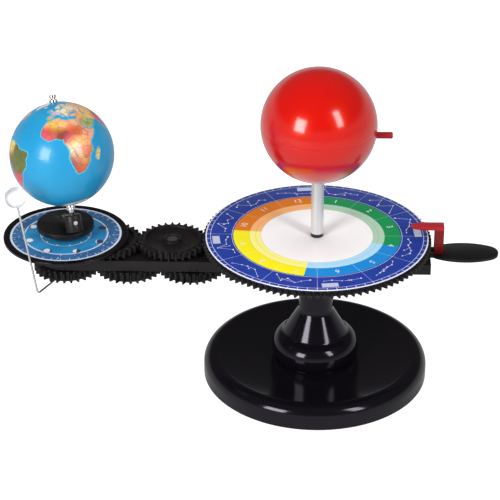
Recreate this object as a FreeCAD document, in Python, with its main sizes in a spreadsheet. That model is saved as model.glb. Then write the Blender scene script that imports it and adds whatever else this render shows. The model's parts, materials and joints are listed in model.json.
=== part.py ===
import FreeCAD, Part
import math
import os
import sys

import Sketcher

# Tellurion: a geared arm carries the Earth and the Moon round the Sun on a weighted base.
# Frame: origin on the table under the middle of the base, +Z up, the Earth on -X and the
# arm's handle on +X. All lengths are in millimetres, angles in degrees.

# Driving dimensions, written once each. Levels follow from the thicknesses and gaps below them.
DIMENSIONS = {
    # base
    "base_radius": 100.0,
    "base_floor_gap": 0.8,
    "base_wall_top": 11.5,
    "base_edge_round": 10.5,
    "base_foot_round": 1.0,
    "base_seat_margin": 2.2,
    "base_seat_level": 18.0,
    "base_wall": 3.0,
    "cover_thick": 2.0,
    "cover_ledge": 3.0,
    "cover_ledge_thick": 1.0,
    "cover_clearance": 0.2,
    "felt_thick": 1.2,
    "felt_margin": 7.0,
    "ballast_margin": 24.0,
    "ballast_hole": 16.0,
    "ballast_thick": 7.0,
    "base_screw_count": 4,
    "base_screw_inset": 13.0,
    "base_screw_radius": 1.5,
    "base_screw_head": 3.0,
    "base_screw_length": 7.0,
    "base_boss_radius": 4.0,
    # bell-shaped pedestal
    "bell_belly_radius": 38.8,
    "bell_belly_rise": 10.5,
    "bell_belly_curve": 16.0,
    "bell_belly_angle": 60.0,
    "bell_waist_curve": 8.0,
    "bell_flank_angle": 31.0,
    "bell_neck_curve": 12.0,
    "bell_foot_curve": 21.7,
    "bell_neck_radius": 15.0,
    "bell_height": 83.5,
    "bell_wall": 3.0,
    "bell_groove": 1.2,
    "bell_groove_height": 1.0,
    # spindle through the pedestal, and the pieces round it
    "spindle_radius": 4.0,
    "spindle_proud": 2.0,
    "nut_thick": 5.0,
    "nut_width": 2.5,
    "spindle_washer_width": 6.0,
    "spindle_washer_thick": 1.5,
    "sleeve_wall": 3.0,
    "thrust_washer_width": 5.0,
    "thrust_washer_thick": 1.2,
    "close_fit": 0.05,
    "running_gap": 0.3,
    # gear trains
    "wheel_spacing": 55.0,
    "lower_teeth": 28,
    "season_teeth": 100,
    "upper_teeth": 29,
    "pinion_teeth": 8,
    "pressure_angle": 20.0,
    "backlash": 0.4,
    "tooth_tip": 0.9,
    "tooth_root": 1.15,
    "tooth_sink": 0.6,
    "pinion_waist": 0.85,
    "lower_wheel_rise": 2.0,
    "lower_wheel_thick": 9.0,
    "upper_wheel_rise": 3.0,
    "upper_wheel_thick": 6.7,
    "season_wheel_overlap": 2.0,
    "season_wheel_thick": 4.8,
    "season_hub_width": 4.0,
    "wheel_hub_wall": 5.5,
    "wheel_rim_depth": 5.0,
    "web_recess": 2.0,
    # arm
    "arm_rise": 2.0,
    "arm_height": 10.0,
    "arm_half_width": 25.0,
    "arm_wall": 2.5,
    "arm_overhang": 1.6,
    "arm_hub_wall": 6.0,
    "arm_boss_wall": 4.0,
    "arm_rib_thick": 1.75,
    "handle_half_length": 30.0,
    "handle_half_width": 16.0,
    "handle_end_round": 12.0,
    "handle_neck": 8.0,
    # pins that carry the idler wheels
    "pin_radius": 2.5,
    "pin_head_width": 2.0,
    "pin_head_thick": 1.5,
    # dial of the seasons and its pointer
    "dial_inset": 0.814,
    "dial_thick": 2.0,
    "pointer_clearance": 2.518,
    "pointer_post_depth": 8.0,
    "pointer_width": 10.0,
    "pointer_rise": 8.5,
    "pointer_thick": 3.0,
    "pointer_reach": 15.4,
    "pointer_tip_width": 4.0,
    "pointer_screw_radius": 1.5,
    "pointer_screw_play": 0.2,
    "pointer_screw_head": 2.8,
    "pointer_screw_head_thick": 1.8,
    "pointer_screw_length": 8.0,
    "pointer_hole_spare": 1.0,
    # Sun
    "sun_radius": 50.0,
    "sun_rise": 56.0,
    "sun_wall": 2.5,
    "sun_lip": 3.0,
    "sun_socket_wall": 3.5,
    "sun_socket_roof": 3.0,
    "post_wall": 1.5,
    "post_length": 74.0,
    "peg_radius": 2.9,
    "peg_dome": 1.16,
    "peg_proud": 13.0,
    "peg_drop": 8.7,
    "peg_depth": 5.0,
    "peg_seat": 1.0,
    # turning disc of the Moon's phases
    "disc_radius": 54.6,
    "disc_gap": 0.6,
    "disc_thick": 1.8,
    "disc_rim": 0.7,
    "disc_chamfer": 0.6,
    "card_margin": 5.8,
    "card_thick": 0.4,
    "card_play": 0.1,
    "card_hole_play": 1.0,
    # carrier of the Earth
    "axle_radius": 2.5,
    "axle_chamfer": 0.5,
    "axle_proud": 3.8,
    "axle_low_proud": 0.8,
    "axle_nut_width": 2.0,
    "axle_nut_thick": 2.6,
    "hub_gap": 0.5,
    "hub_foot_radius": 15.0,
    "hub_radius": 25.0,
    "hub_brim": 4.5,
    "hub_edge_round": 0.8,
    "hub_height": 11.2,
    "hub_boss_wall": 3.5,
    "hub_boss_height": 3.2,
    "socket_wall": 5.3,
    "socket_depth": 13.0,
    "socket_floor": 2.0,
    "socket_chamfer": 1.0,
    "gusset_thick": 9.0,
    "gusset_drop": 5.0,
    # globe
    "globe_radius": 45.0,
    "globe_wall": 2.2,
    "globe_lip": 2.5,
    "earth_tilt": 23.5,
    "tilt_direction": 113.7,
    "rod_radius": 2.2,
    "rod_below_globe": 21.0,
    "rod_above_globe": 6.0,
    "rod_foot_rise": 5.674,
    "rod_collar_width": 1.4,
    "rod_collar_thick": 1.8,
    "globe_bush_wall": 1.5,
    "globe_bush_height": 1.8,
    "rod_cap_wall": 0.8,
    "rod_cap_height": 2.6,
    "clamp_screw_radius": 1.8,
    "clamp_screw_rise": 6.0,
    "clamp_screw_proud": 0.6,
    # Moon
    "moon_radius": 9.0,
    "moon_clearance": 18.5,
    "moon_drop": 9.2,
    "moon_direction": 243.5,
    "wire_radius": 0.9,
    "wire_bend": 5.0,
    "wire_gap": 1.255,
    "moon_hub_wall": 4.5,
    "moon_hub_thick": 4.0,
    "wire_hole_end": 1.0,
}

SHEET = "Dimensions"
FULL_TURN = 360.0


class Size:
    """A length or angle that knows its value now and the sheet formula it comes from."""

    def __init__(self, value, text=None):
        self.value = float(value)
        self.text = text or f"{value:.9g}"

    def __add__(self, other):
        other = as_size(other)
        return Size(self.value + other.value, f"({self.text} + {other.text})")

    def __sub__(self, other):
        other = as_size(other)
        return Size(self.value - other.value, f"({self.text} - {other.text})")

    def __mul__(self, other):
        other = as_size(other)
        return Size(self.value * other.value, f"({self.text} * {other.text})")

    def __truediv__(self, other):
        other = as_size(other)
        return Size(self.value / other.value, f"({self.text} / {other.text})")

    def __radd__(self, other):
        return as_size(other) + self

    def __rsub__(self, other):
        return as_size(other) - self

    def __rmul__(self, other):
        return as_size(other) * self

    def __neg__(self):
        return Size(-self.value, f"(0 - {self.text})")


def as_size(number):
    return number if isinstance(number, Size) else Size(number, f"({number:.9g})")


def sine(angle):
    return Size(math.sin(math.radians(angle.value)), f"sin({angle.text})")


def cosine(angle):
    return Size(math.cos(math.radians(angle.value)), f"cos({angle.text})")


def tangent(angle):
    return Size(math.tan(math.radians(angle.value)), f"tan({angle.text})")


def arc_cosine(ratio):
    return Size(math.degrees(math.acos(ratio.value)), f"(acos({ratio.text}) / 1deg)")


def arc_tangent(ratio):
    return Size(math.degrees(math.atan(ratio.value)), f"(atan({ratio.text}) / 1deg)")


def root(number):
    return Size(math.sqrt(number.value), f"sqrt({number.text})")


def power_two(number):
    return number * number


def at_height(radius, height):
    """How far a sphere's surface is from its axis at a height over its middle."""
    return root(power_two(radius) - power_two(height))


def involute(angle):
    """The involute function of an angle, in degrees."""
    return tangent(angle) * (180 / math.pi) - angle


class Dims:
    """The driving dimensions by name, each tied to its cell of the sheet."""

    def __getattr__(self, name):
        return Size(DIMENSIONS[name], f"{SHEET}.{name}")


doc = FreeCAD.newDocument("Tellurion")
sheet = doc.addObject("Spreadsheet::Sheet", SHEET)
for row, (name, number) in enumerate(DIMENSIONS.items(), 1):
    sheet.set(f"A{row}", name)
    sheet.set(f"B{row}", str(number))
    sheet.setAlias(f"B{row}", name)
doc.recompute()
d = Dims()
parts = []


def bind(thing, prop, size):
    """Sets a property from a size and ties it to the sheet."""
    size = as_size(size)
    thing.setExpression(prop, size.text)


def new_body(label, at=(0, 0, 0), tilt=None, lean=None, turn=None):
    """A body of one sub-part. tilt leans its Z axis towards the direction lean; turn swings it about Z."""
    body = doc.addObject("PartDesign::Body", label)
    body.Label = label
    body.AllowCompound = True
    for axis, place in zip("xyz", at):
        bind(body, f"Placement.Base.{axis}", place)
    if tilt is not None:
        bind(body, "Placement.Rotation.Axis.x", -sine(lean))
        bind(body, "Placement.Rotation.Axis.y", cosine(lean))
        bind(body, "Placement.Rotation.Axis.z", 0)
        bind(body, "Placement.Rotation.Angle", tilt)
    if turn is not None:
        bind(body, "Placement.Rotation.Angle", turn)
    parts.append(body)
    return body


def origin_piece(body, role):
    return next(f for f in body.Origin.OriginFeatures if f.Role == role)


def new_sketch(body, plane="XZ_Plane", level=None):
    """A sketch on one of the body's own origin planes, lifted off it by level."""
    sketch = body.newObject("Sketcher::SketchObject", f"{body.Label}_sketch")
    sketch.AttachmentSupport = [(origin_piece(body, plane), "")]
    sketch.MapMode = "FlatFace"
    if level is not None:
        bind(sketch, "AttachmentOffset.Base.z", level)
    return sketch


def pin_point(sketch, edge, end, x, y):
    """Fixes a point of a sketch at x, y from its origin."""
    for kind, axis, size in (("DistanceX", -2, as_size(x)), ("DistanceY", -1, as_size(y))):
        if size.value == 0 and not size.text.count(SHEET):
            sketch.addConstraint(Sketcher.Constraint("PointOnObject", edge, end, axis))
            continue
        number = sketch.addConstraint(Sketcher.Constraint(kind, -1, 1, edge, end, size.value))
        sketch.setExpression(f"Constraints[{number}]", size.text)


def arc_between(start, end, radius, side):
    """The short arc of a radius between two points, and whether it runs from start to end
    anticlockwise; side is 1 when it bulges to the right of the way from start to end."""
    (x0, y0), (x1, y1) = start, end
    chord = math.hypot(x1 - x0, y1 - y0)
    rise = math.sqrt(max(radius * radius - chord * chord / 4, 0.0))
    middle_x = (x0 + x1) / 2 - (y1 - y0) / chord * side * rise
    middle_y = (y0 + y1) / 2 + (x1 - x0) / chord * side * rise
    angles = [math.atan2(y - middle_y, x - middle_x) for x, y in (start, end)]
    forward = side > 0
    first, last = angles if forward else reversed(angles)
    if last < first:
        last += 2 * math.pi
    round_edge = Part.Circle(FreeCAD.Vector(middle_x, middle_y, 0), FreeCAD.Vector(0, 0, 1), radius)
    return Part.ArcOfCircle(round_edge, first, last), forward


def outline(sketch, corners, arcs=None):
    """A closed outline through the corners. arcs gives, by the corner it starts at, an edge's
    radius and the side it bulges to, 1 for the right hand of the way round."""
    arcs = arcs or {}
    spots = [(as_size(x).value, as_size(y).value) for x, y in corners]
    ends = []
    for i, start in enumerate(spots):
        end = spots[(i + 1) % len(spots)]
        if i in arcs:
            radius, side = arcs[i]
            arc, forward = arc_between(start, end, as_size(radius).value, side)
            edge = sketch.addGeometry(arc)
            ends.append((edge, 1, 2) if forward else (edge, 2, 1))
            number = sketch.addConstraint(Sketcher.Constraint("Radius", edge, as_size(radius).value))
            sketch.setExpression(f"Constraints[{number}]", as_size(radius).text)
        else:
            points = [FreeCAD.Vector(x, y, 0) for x, y in (start, end)]
            edge = sketch.addGeometry(Part.LineSegment(*points))
            ends.append((edge, 1, 2))
    for i, (edge, first, last) in enumerate(ends):
        following = ends[(i + 1) % len(ends)]
        sketch.addConstraint(Sketcher.Constraint("Coincident", edge, last, following[0], following[1]))
        pin_point(sketch, edge, first, *corners[i])


def circle(sketch, radius, x=0, y=0):
    middle = FreeCAD.Vector(as_size(x).value, as_size(y).value, 0)
    radius = as_size(radius)
    edge = sketch.addGeometry(Part.Circle(middle, FreeCAD.Vector(0, 0, 1), radius.value))
    number = sketch.addConstraint(Sketcher.Constraint("Radius", edge, radius.value))
    sketch.setExpression(f"Constraints[{number}]", radius.text)
    pin_point(sketch, edge, 3, x, y)


def feature(body, kind, sketch):
    made = body.newObject(f"PartDesign::{kind}", f"{body.Label}_{kind.lower()}")
    made.Profile = sketch
    sketch.Visibility = False
    return made


def pad(body, sketch, length, down=False):
    made = feature(body, "Pad", sketch)
    bind(made, "Length", length)
    made.Reversed = down
    return made


def pocket(body, sketch, length, up=False):
    """Cuts down from the sketch by a length, or up from it."""
    made = feature(body, "Pocket", sketch)
    bind(made, "Length", length)
    made.Reversed = up
    return made


def turn_about(body, kind, corners, arcs=None, axis=None):
    """Revolves an outline in the body's XZ plane about its Z axis, or about the line axis."""
    sketch = new_sketch(body)
    outline(sketch, corners, arcs)
    name = "V_Axis"
    if axis is not None:
        ends = [FreeCAD.Vector(as_size(x).value, as_size(y).value, 0) for x, y in axis]
        edge = sketch.addGeometry(Part.LineSegment(*ends), True)
        pin_point(sketch, edge, 1, *axis[0])
        pin_point(sketch, edge, 2, *axis[1])
        name = "Axis0"
    made = feature(body, kind, sketch)
    made.ReferenceAxis = (sketch, [name])
    made.Angle = FULL_TURN
    return made


def turned(label, corners, arcs=None, **place):
    """A sub-part that is one turned solid."""
    body = new_body(label, **place)
    turn_about(body, "Revolution", corners, arcs)
    return body


def pattern(body, kind, original, axis, count, span):
    made = body.newObject(f"PartDesign::{kind}Pattern", f"{body.Label}_pattern")
    made.Originals = [original]
    if kind == "Polar":
        made.Axis = (origin_piece(body, axis), [""])
        bind(made, "Angle", span)
    else:
        made.Direction = (origin_piece(body, axis), [""])
        bind(made, "Length", span)
    bind(made, "Occurrences", count)
    body.Tip = made
    return made


def ring(inner, outer, low, high):
    """The corners of a ring's half section."""
    return [(inner, low), (outer, low), (outer, high), (inner, high)]


# Radii and places that several pieces share
spindle_bore = d.spindle_radius + d.close_fit
sleeve_radius = d.spindle_radius + d.sleeve_wall
thrust_radius = sleeve_radius + d.thrust_washer_width
post_radius = d.spindle_radius + d.post_wall
pin_bore = d.pin_radius + d.close_fit
pin_head = d.pin_radius + d.pin_head_width
pin_boss = d.pin_radius + d.arm_boss_wall
axle_bore = d.axle_radius + d.close_fit
hub_boss = d.axle_radius + d.hub_boss_wall
moon_hub_radius = d.axle_radius + d.moon_hub_wall
bush_radius = d.rod_radius + d.globe_bush_wall
socket_radius = d.rod_radius + d.socket_wall
module = d.wheel_spacing / d.lower_teeth
season_pitch = module * d.season_teeth / 2
upper_pitch = module * d.upper_teeth / 2
upper_place_1 = season_pitch + upper_pitch
upper_place_2 = upper_place_1 + upper_pitch * 2
earth_place = d.wheel_spacing * 4
lower_places = [d.wheel_spacing * number for number in range(1, 4)]
upper_places = [upper_place_1, upper_place_2]
seat_radius = d.bell_belly_radius + d.base_seat_margin
screw_circle = d.base_radius - d.base_screw_inset
dial_radius = season_pitch - d.dial_inset
arm_end = dial_radius + d.arm_overhang
handle_middle = arm_end + d.handle_half_length
pointer_near = season_pitch + module * d.tooth_tip + d.pointer_clearance
pointer_far = pointer_near + d.pointer_post_depth
pointer_middle = (pointer_near + pointer_far) / 2

# Levels, from the table up
cover_level = d.felt_thick
cover_top = cover_level + d.cover_thick
seat_under = d.base_seat_level - d.base_wall
foot_nut_level = seat_under - d.spindle_washer_thick - d.nut_thick
bell_top = d.base_seat_level + d.bell_height
lower_wheel_level = bell_top + d.lower_wheel_rise
lower_wheel_top = lower_wheel_level + d.lower_wheel_thick
arm_level = lower_wheel_top + d.arm_rise
arm_top = arm_level + d.arm_height
arm_web = arm_top - d.arm_wall
upper_wheel_level = arm_top + d.upper_wheel_rise
upper_wheel_top = upper_wheel_level + d.upper_wheel_thick
season_wheel_level = upper_wheel_top - d.season_wheel_overlap
season_wheel_top = season_wheel_level + d.season_wheel_thick
dial_top = season_wheel_top + d.dial_thick
pointer_level = dial_top + d.pointer_rise
post_top = dial_top + d.post_length
socket_roof = post_top + d.sun_socket_roof
sun_level = dial_top + d.sun_rise + d.sun_radius
disc_level = upper_wheel_top + d.disc_gap
disc_floor = disc_level + d.disc_thick
disc_brim = disc_floor + d.disc_rim
hub_level = disc_brim + d.hub_gap
hub_top = hub_level + d.hub_height
hub_boss_top = hub_top + d.hub_boss_height
axle_top = hub_boss_top + d.axle_proud
rod_foot = d.globe_radius + d.rod_below_globe
rod_top = d.globe_radius + d.rod_above_globe
globe_level = hub_top + d.rod_foot_rise + rod_foot * cosine(d.earth_tilt)
moon_level = globe_level - d.moon_drop
moon_hub_top = lower_wheel_level - d.running_gap
moon_hub_low = moon_hub_top - d.moon_hub_thick
axle_nut_top = moon_hub_low - d.running_gap
axle_nut_low = axle_nut_top - d.axle_nut_thick
wire_level = moon_hub_low + d.moon_hub_thick / 2

# The Moon's wire passes the disc at a gap and ends at the Moon
moon_orbit = d.globe_radius + d.moon_radius + d.moon_clearance
wire_pass = d.disc_radius + d.wire_gap
wire_slope = (moon_orbit - wire_pass) / (moon_level - disc_level)
wire_corner = wire_pass - wire_slope * (disc_level - wire_level)
wire_lean = arc_tangent(wire_slope)


def tooth_angles(teeth):
    """Half angles that a tooth takes at its tip and where its flank starts, with those radii."""
    pitch = module * teeth / 2
    base = pitch * cosine(d.pressure_angle)
    tip = pitch + module * d.tooth_tip
    foot = pitch - module * d.tooth_root
    half = (module * (math.pi / 2) - d.backlash) / 2 / pitch * (180 / math.pi)
    whole = half + involute(d.pressure_angle)
    at_tip = whole - involute(arc_cosine(base / tip))
    if foot.value > base.value:
        start, at_start = foot, whole - involute(arc_cosine(base / foot))
    else:
        start, at_start = base, whole
    return tip, at_tip, start, at_start, foot


def toothed(body, teeth, thick, bore, level=0, knee=False):
    """A blank with a bore, and one tooth repeated round it."""
    tip, at_tip, start, at_start, foot = tooth_angles(teeth)
    blank = new_sketch(body, "XY_Plane", level)
    circle(blank, foot)
    circle(blank, bore)
    pad(body, blank, thick)
    flank = [(tip * cosine(at_tip), tip * sine(at_tip))]
    if knee:
        flank.append((start * cosine(at_start), start * sine(at_start)))
        narrow = at_start * d.pinion_waist
        flank.append((foot * cosine(narrow), foot * sine(narrow)))
    else:
        flank.append((foot * cosine(at_start), foot * sine(at_start)))
    flank.append((foot - d.tooth_sink, flank[-1][1]))
    other = [(x, -y) for x, y in reversed(flank)]
    sketch = new_sketch(body, "XY_Plane", level)
    outline(sketch, flank + other)
    tooth = pad(body, sketch, thick)
    pattern(body, "Polar", tooth, "Z_Axis", teeth, FULL_TURN)


def dish_out(body, inner, outer, low, high):
    """Turns a ring-shaped recess out of a wheel's face."""
    turn_about(body, "Groove", ring(inner, outer, low, high))


def mesh_turn(teeth_1, turn_1, teeth_2, heading):
    """The turn of a wheel that meshes with wheel 1 in the direction heading from it."""
    return heading + 180 + (180 - teeth_1 * (turn_1 - heading)) / teeth_2


# Base: a hollow moulding, a cover plate under it, ballast, felt and screws
def base_shell():
    edge = d.base_edge_round
    crest_x = d.base_radius - edge
    # the top falls from the rounded edge to the seat on a line that is tangent to the round
    run = crest_x - seat_radius
    fall = d.base_wall_top - d.base_seat_level
    reach = root(power_two(run) + power_two(fall))
    slope = arc_tangent(fall / run) + arc_cosine(edge / reach)
    touch = (crest_x - edge * cosine(slope), d.base_wall_top + edge * sine(slope))
    inner_edge = edge - d.base_wall
    inner_touch = (crest_x - inner_edge * cosine(slope), d.base_wall_top + inner_edge * sine(slope))
    inner_wall = d.base_radius - d.base_wall
    ledge = inner_wall - d.cover_ledge
    ledge_top = cover_top + d.cover_ledge_thick
    foot = d.base_foot_round
    corners = [
        (spindle_bore, d.base_seat_level),
        (spindle_bore, seat_under),
        (seat_radius, seat_under),
        inner_touch,
        (inner_wall, d.base_wall_top),
        (inner_wall, ledge_top),
        (ledge, ledge_top),
        (ledge, cover_top),
        (inner_wall, cover_top),
        (inner_wall, d.base_floor_gap),
        (d.base_radius - foot, d.base_floor_gap),
        (d.base_radius, d.base_floor_gap + foot),
        (d.base_radius, d.base_wall_top),
        touch,
        (seat_radius, d.base_seat_level),
    ]
    body = turned("base_shell", corners, {3: (inner_edge, -1), 10: (foot, 1), 12: (edge, 1)})
    # bosses for the cover's screws hang from the roof
    sketch = new_sketch(body, "XY_Plane", cover_top)
    circle(sketch, d.base_boss_radius, screw_circle)
    circle(sketch, d.base_screw_radius, screw_circle)
    boss = pad(body, sketch, d.base_wall_top + inner_edge * sine(slope) - cover_top)
    pattern(body, "Polar", boss, "Z_Axis", d.base_screw_count, FULL_TURN)


def base_cover():
    body = new_body("base_cover")
    sketch = new_sketch(body, "XY_Plane", cover_level)
    circle(sketch, d.base_radius - d.base_wall - d.cover_clearance)
    pad(body, sketch, d.cover_thick)
    # countersunk holes for the screws
    wide, narrow = d.base_screw_head, d.base_screw_radius
    middle = screw_circle
    sink = wide - narrow
    hole = turn_about(body, "Groove",
                      [(middle, cover_level), (middle + wide, cover_level),
                       (middle + narrow, cover_level + sink), (middle + narrow, cover_top),
                       (middle, cover_top)],
                      axis=((middle, cover_level), (middle, cover_top)))
    pattern(body, "Polar", hole, "Z_Axis", d.base_screw_count, FULL_TURN)


def base_screws():
    """Countersunk screws that hold the cover to the shell's bosses."""
    low = cover_level
    sink = d.base_screw_head - d.base_screw_radius
    high = cover_top + d.base_screw_length
    head, shank, middle = d.base_screw_head, d.base_screw_radius, screw_circle
    body = new_body("base_screws")
    screw = turn_about(body, "Revolution",
                       [(middle, low), (middle + head, low), (middle + shank, low + sink),
                        (middle + shank, high), (middle, high)],
                       axis=((middle, low), (middle, high)))
    pattern(body, "Polar", screw, "Z_Axis", d.base_screw_count, FULL_TURN)


def felt_disc():
    """A felt disc, glued under the cover, that the base stands on."""
    radius = d.base_radius - d.felt_margin
    turned("felt_disc", [(0, 0), (radius, 0), (radius, d.felt_thick), (0, d.felt_thick)])


def ballast_disc():
    radius = d.base_radius - d.ballast_margin
    turned("ballast_disc", ring(d.ballast_hole, radius, cover_top, cover_top + d.ballast_thick))


# Pedestal: a bell-shaped moulding with a round belly, a conical flank and a straight neck
def pedestal_bell():
    curve, waist = d.bell_belly_curve, d.bell_waist_curve
    steep, flank = d.bell_belly_angle, d.bell_flank_angle
    belly_z = d.base_seat_level + d.bell_belly_rise
    curve_end = (d.bell_belly_radius - curve * (1 - cosine(steep)), belly_z + curve * sine(steep))
    flank_low = (curve_end[0] - waist * (cosine(flank) - cosine(steep)),
                 curve_end[1] + waist * (sine(steep) - sine(flank)))
    flank_high_x = d.bell_neck_radius + d.bell_neck_curve * (1 - cosine(flank))
    flank_high = (flank_high_x, flank_low[1] + (flank_low[0] - flank_high_x) / tangent(flank))
    neck_z = flank_high[1] + d.bell_neck_curve * sine(flank)
    foot_z = d.base_seat_level + d.bell_groove_height
    foot = d.bell_foot_curve
    foot_x = d.bell_belly_radius - foot + at_height(foot, belly_z - foot_z)
    wall = d.bell_wall
    corners = [
        (spindle_bore, bell_top),
        (spindle_bore, flank_low[1] + wall),
        (curve_end[0] - wall, curve_end[1] - wall * 2),
        (foot_x - wall, belly_z),
        (foot_x - wall - d.bell_groove, d.base_seat_level),
        (foot_x - d.bell_groove, d.base_seat_level),
        (foot_x - d.bell_groove, foot_z),
        (foot_x, foot_z),
        (d.bell_belly_radius, belly_z),
        curve_end,
        flank_low,
        flank_high,
        (d.bell_neck_radius, neck_z),
        (d.bell_neck_radius, bell_top),
    ]
    arcs = {7: (foot, 1), 8: (curve, 1), 9: (waist, -1), 11: (d.bell_neck_curve, -1)}
    turned("pedestal_bell", corners, arcs)


def spindle():
    low = foot_nut_level - d.spindle_proud
    high = socket_roof + d.nut_thick + d.spindle_proud
    turned("spindle", [(0, low), (d.spindle_radius, low), (d.spindle_radius, high), (0, high)])


def hexagon(sketch, flat):
    """A hexagon, by the distance from its middle to its flats."""
    half_side = flat * tangent(Size(30))
    point = half_side * 2
    outline(sketch, [(point, 0), (half_side, flat), (-half_side, flat),
                     (-point, 0), (-half_side, -flat), (half_side, -flat)])


def spindle_nut(label, level):
    """A hexagon nut on one end of the spindle."""
    body = new_body(label)
    nut = new_sketch(body, "XY_Plane", level)
    hexagon(nut, d.spindle_radius + d.nut_width)
    circle(nut, d.spindle_radius)
    pad(body, nut, d.nut_thick)


def spindle_washer():
    turned("spindle_washer", ring(spindle_bore, d.spindle_radius + d.spindle_washer_width,
                                  seat_under - d.spindle_washer_thick, seat_under))


def fixed_wheel():
    """The wheel that the lower train runs round, seated on the pedestal by its hub."""
    body = new_body("fixed_lower_gear")
    toothed(body, d.lower_teeth, d.lower_wheel_thick, spindle_bore, lower_wheel_level)
    hub = new_sketch(body, "XY_Plane", bell_top)
    circle(hub, thrust_radius)
    circle(hub, spindle_bore)
    body.Tip = pad(body, hub, d.lower_wheel_rise)


def bearing_sleeve():
    turned("bearing_sleeve", ring(spindle_bore, sleeve_radius, lower_wheel_top, season_wheel_level))


def thrust_washers():
    """Two washers on the sleeve, under and over the arm's hub."""
    bore = sleeve_radius + d.close_fit
    thick = d.thrust_washer_thick
    body = turned("thrust_washers", ring(bore, thrust_radius, lower_wheel_top, lower_wheel_top + thick))
    turn_about(body, "Revolution", ring(bore, thrust_radius, season_wheel_level - thick, season_wheel_level))


def season_wheel():
    """The large wheel of the upper train, fixed under the dial, with a web and a hub."""
    body = new_body("season_gear")
    level = season_wheel_level
    toothed(body, d.season_teeth, d.season_wheel_thick, spindle_bore, level)
    rim = season_pitch - d.wheel_rim_depth * 2
    dish_out(body, thrust_radius + d.season_hub_width, rim, level, level + d.web_recess)


def season_dial():
    turned("season_dial", ring(spindle_bore, dial_radius, season_wheel_top, dial_top))


# Sun: two half shells on a chromed post, with a peg in the side away from the Earth
def sun_post():
    turned("sun_post", ring(spindle_bore, post_radius, dial_top, post_top))


def sun_lower():
    outside, inside = d.sun_radius, d.sun_radius - d.sun_wall
    lip_in = inside - d.sun_wall
    middle = sun_level
    bore = post_radius + d.close_fit
    socket = post_radius + d.sun_socket_wall
    corners = [
        (bore, middle - at_height(outside, bore)),
        (outside, middle),
        (inside, middle),
        (inside, middle + d.sun_lip),
        (lip_in, middle + d.sun_lip),
        (lip_in, middle - d.sun_lip),
        (at_height(inside, d.sun_lip), middle - d.sun_lip),
        (socket, middle - at_height(inside, socket)),
        (socket, socket_roof),
        (spindle_bore, socket_roof),
        (spindle_bore, post_top),
        (bore, post_top),
    ]
    body = turned("sun_lower_shell", corners, {0: (outside, 1), 6: (inside, -1)})
    hole = new_sketch(body, "YZ_Plane", d.sun_radius)
    circle(hole, d.peg_radius + d.close_fit, 0, middle - d.peg_drop)
    pocket(body, hole, d.peg_depth + d.sun_wall)


def sun_upper():
    outside, inside = d.sun_radius, d.sun_radius - d.sun_wall
    seam = inside + d.close_fit
    middle = sun_level
    corners = [
        (seam, middle),
        (outside, middle),
        (0, middle + outside),
        (0, middle + inside - d.close_fit),
        (at_height(inside - d.close_fit, d.sun_lip), middle + d.sun_lip),
        (seam, middle + d.sun_lip),
    ]
    # the inner face starts over the lip of the lower shell
    turned("sun_upper_shell", corners, {1: (outside, 1), 3: (inside - d.close_fit, -1)})


def sun_peg():
    """A round peg with a domed end, pushed into the lower shell."""
    body = new_body("sun_peg", at=(0, 0, sun_level - d.peg_drop))
    end = d.sun_radius + d.peg_proud
    start = d.sun_radius - d.sun_wall - d.peg_seat
    dome = d.peg_dome
    sketch = new_sketch(body, "XZ_Plane")
    outline(sketch, [(start, 0), (end, 0), (end, d.peg_radius - dome), (end - dome, d.peg_radius),
                     (start, d.peg_radius)], {2: (dome, 1)})
    made = feature(body, "Revolution", sketch)
    made.ReferenceAxis = (sketch, ["H_Axis"])
    made.Angle = FULL_TURN


# Arm: a channel moulding, open below, with a hub, bosses for the pins and the handle
def arm_plan(sketch, inset):
    half = d.arm_half_width - inset
    right = arm_end - inset
    outline(sketch, [(-earth_place, -half), (right, -half), (right, half), (-earth_place, half),
                     (-earth_place - half, 0)], {3: (half, 1), 4: (half, 1)})


def handle_oval(sketch):
    """An oval of four arcs: round ends, joined by long flat sides."""
    end = d.handle_end_round
    middle = handle_middle
    centre_x = d.handle_half_length - end
    narrow = d.handle_half_width
    side = (power_two(centre_x) + power_two(narrow) - power_two(end)) / (narrow - end) / 2
    drop = side - narrow
    reach = side - end
    touch_x = centre_x / reach * side
    touch_y = drop / reach * side - drop
    corners = [(middle - touch_x, -touch_y), (middle + touch_x, -touch_y),
               (middle + touch_x, touch_y), (middle - touch_x, touch_y)]
    outline(sketch, corners, {0: (side, 1), 1: (end, 1), 2: (side, 1), 3: (end, 1)})


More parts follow.
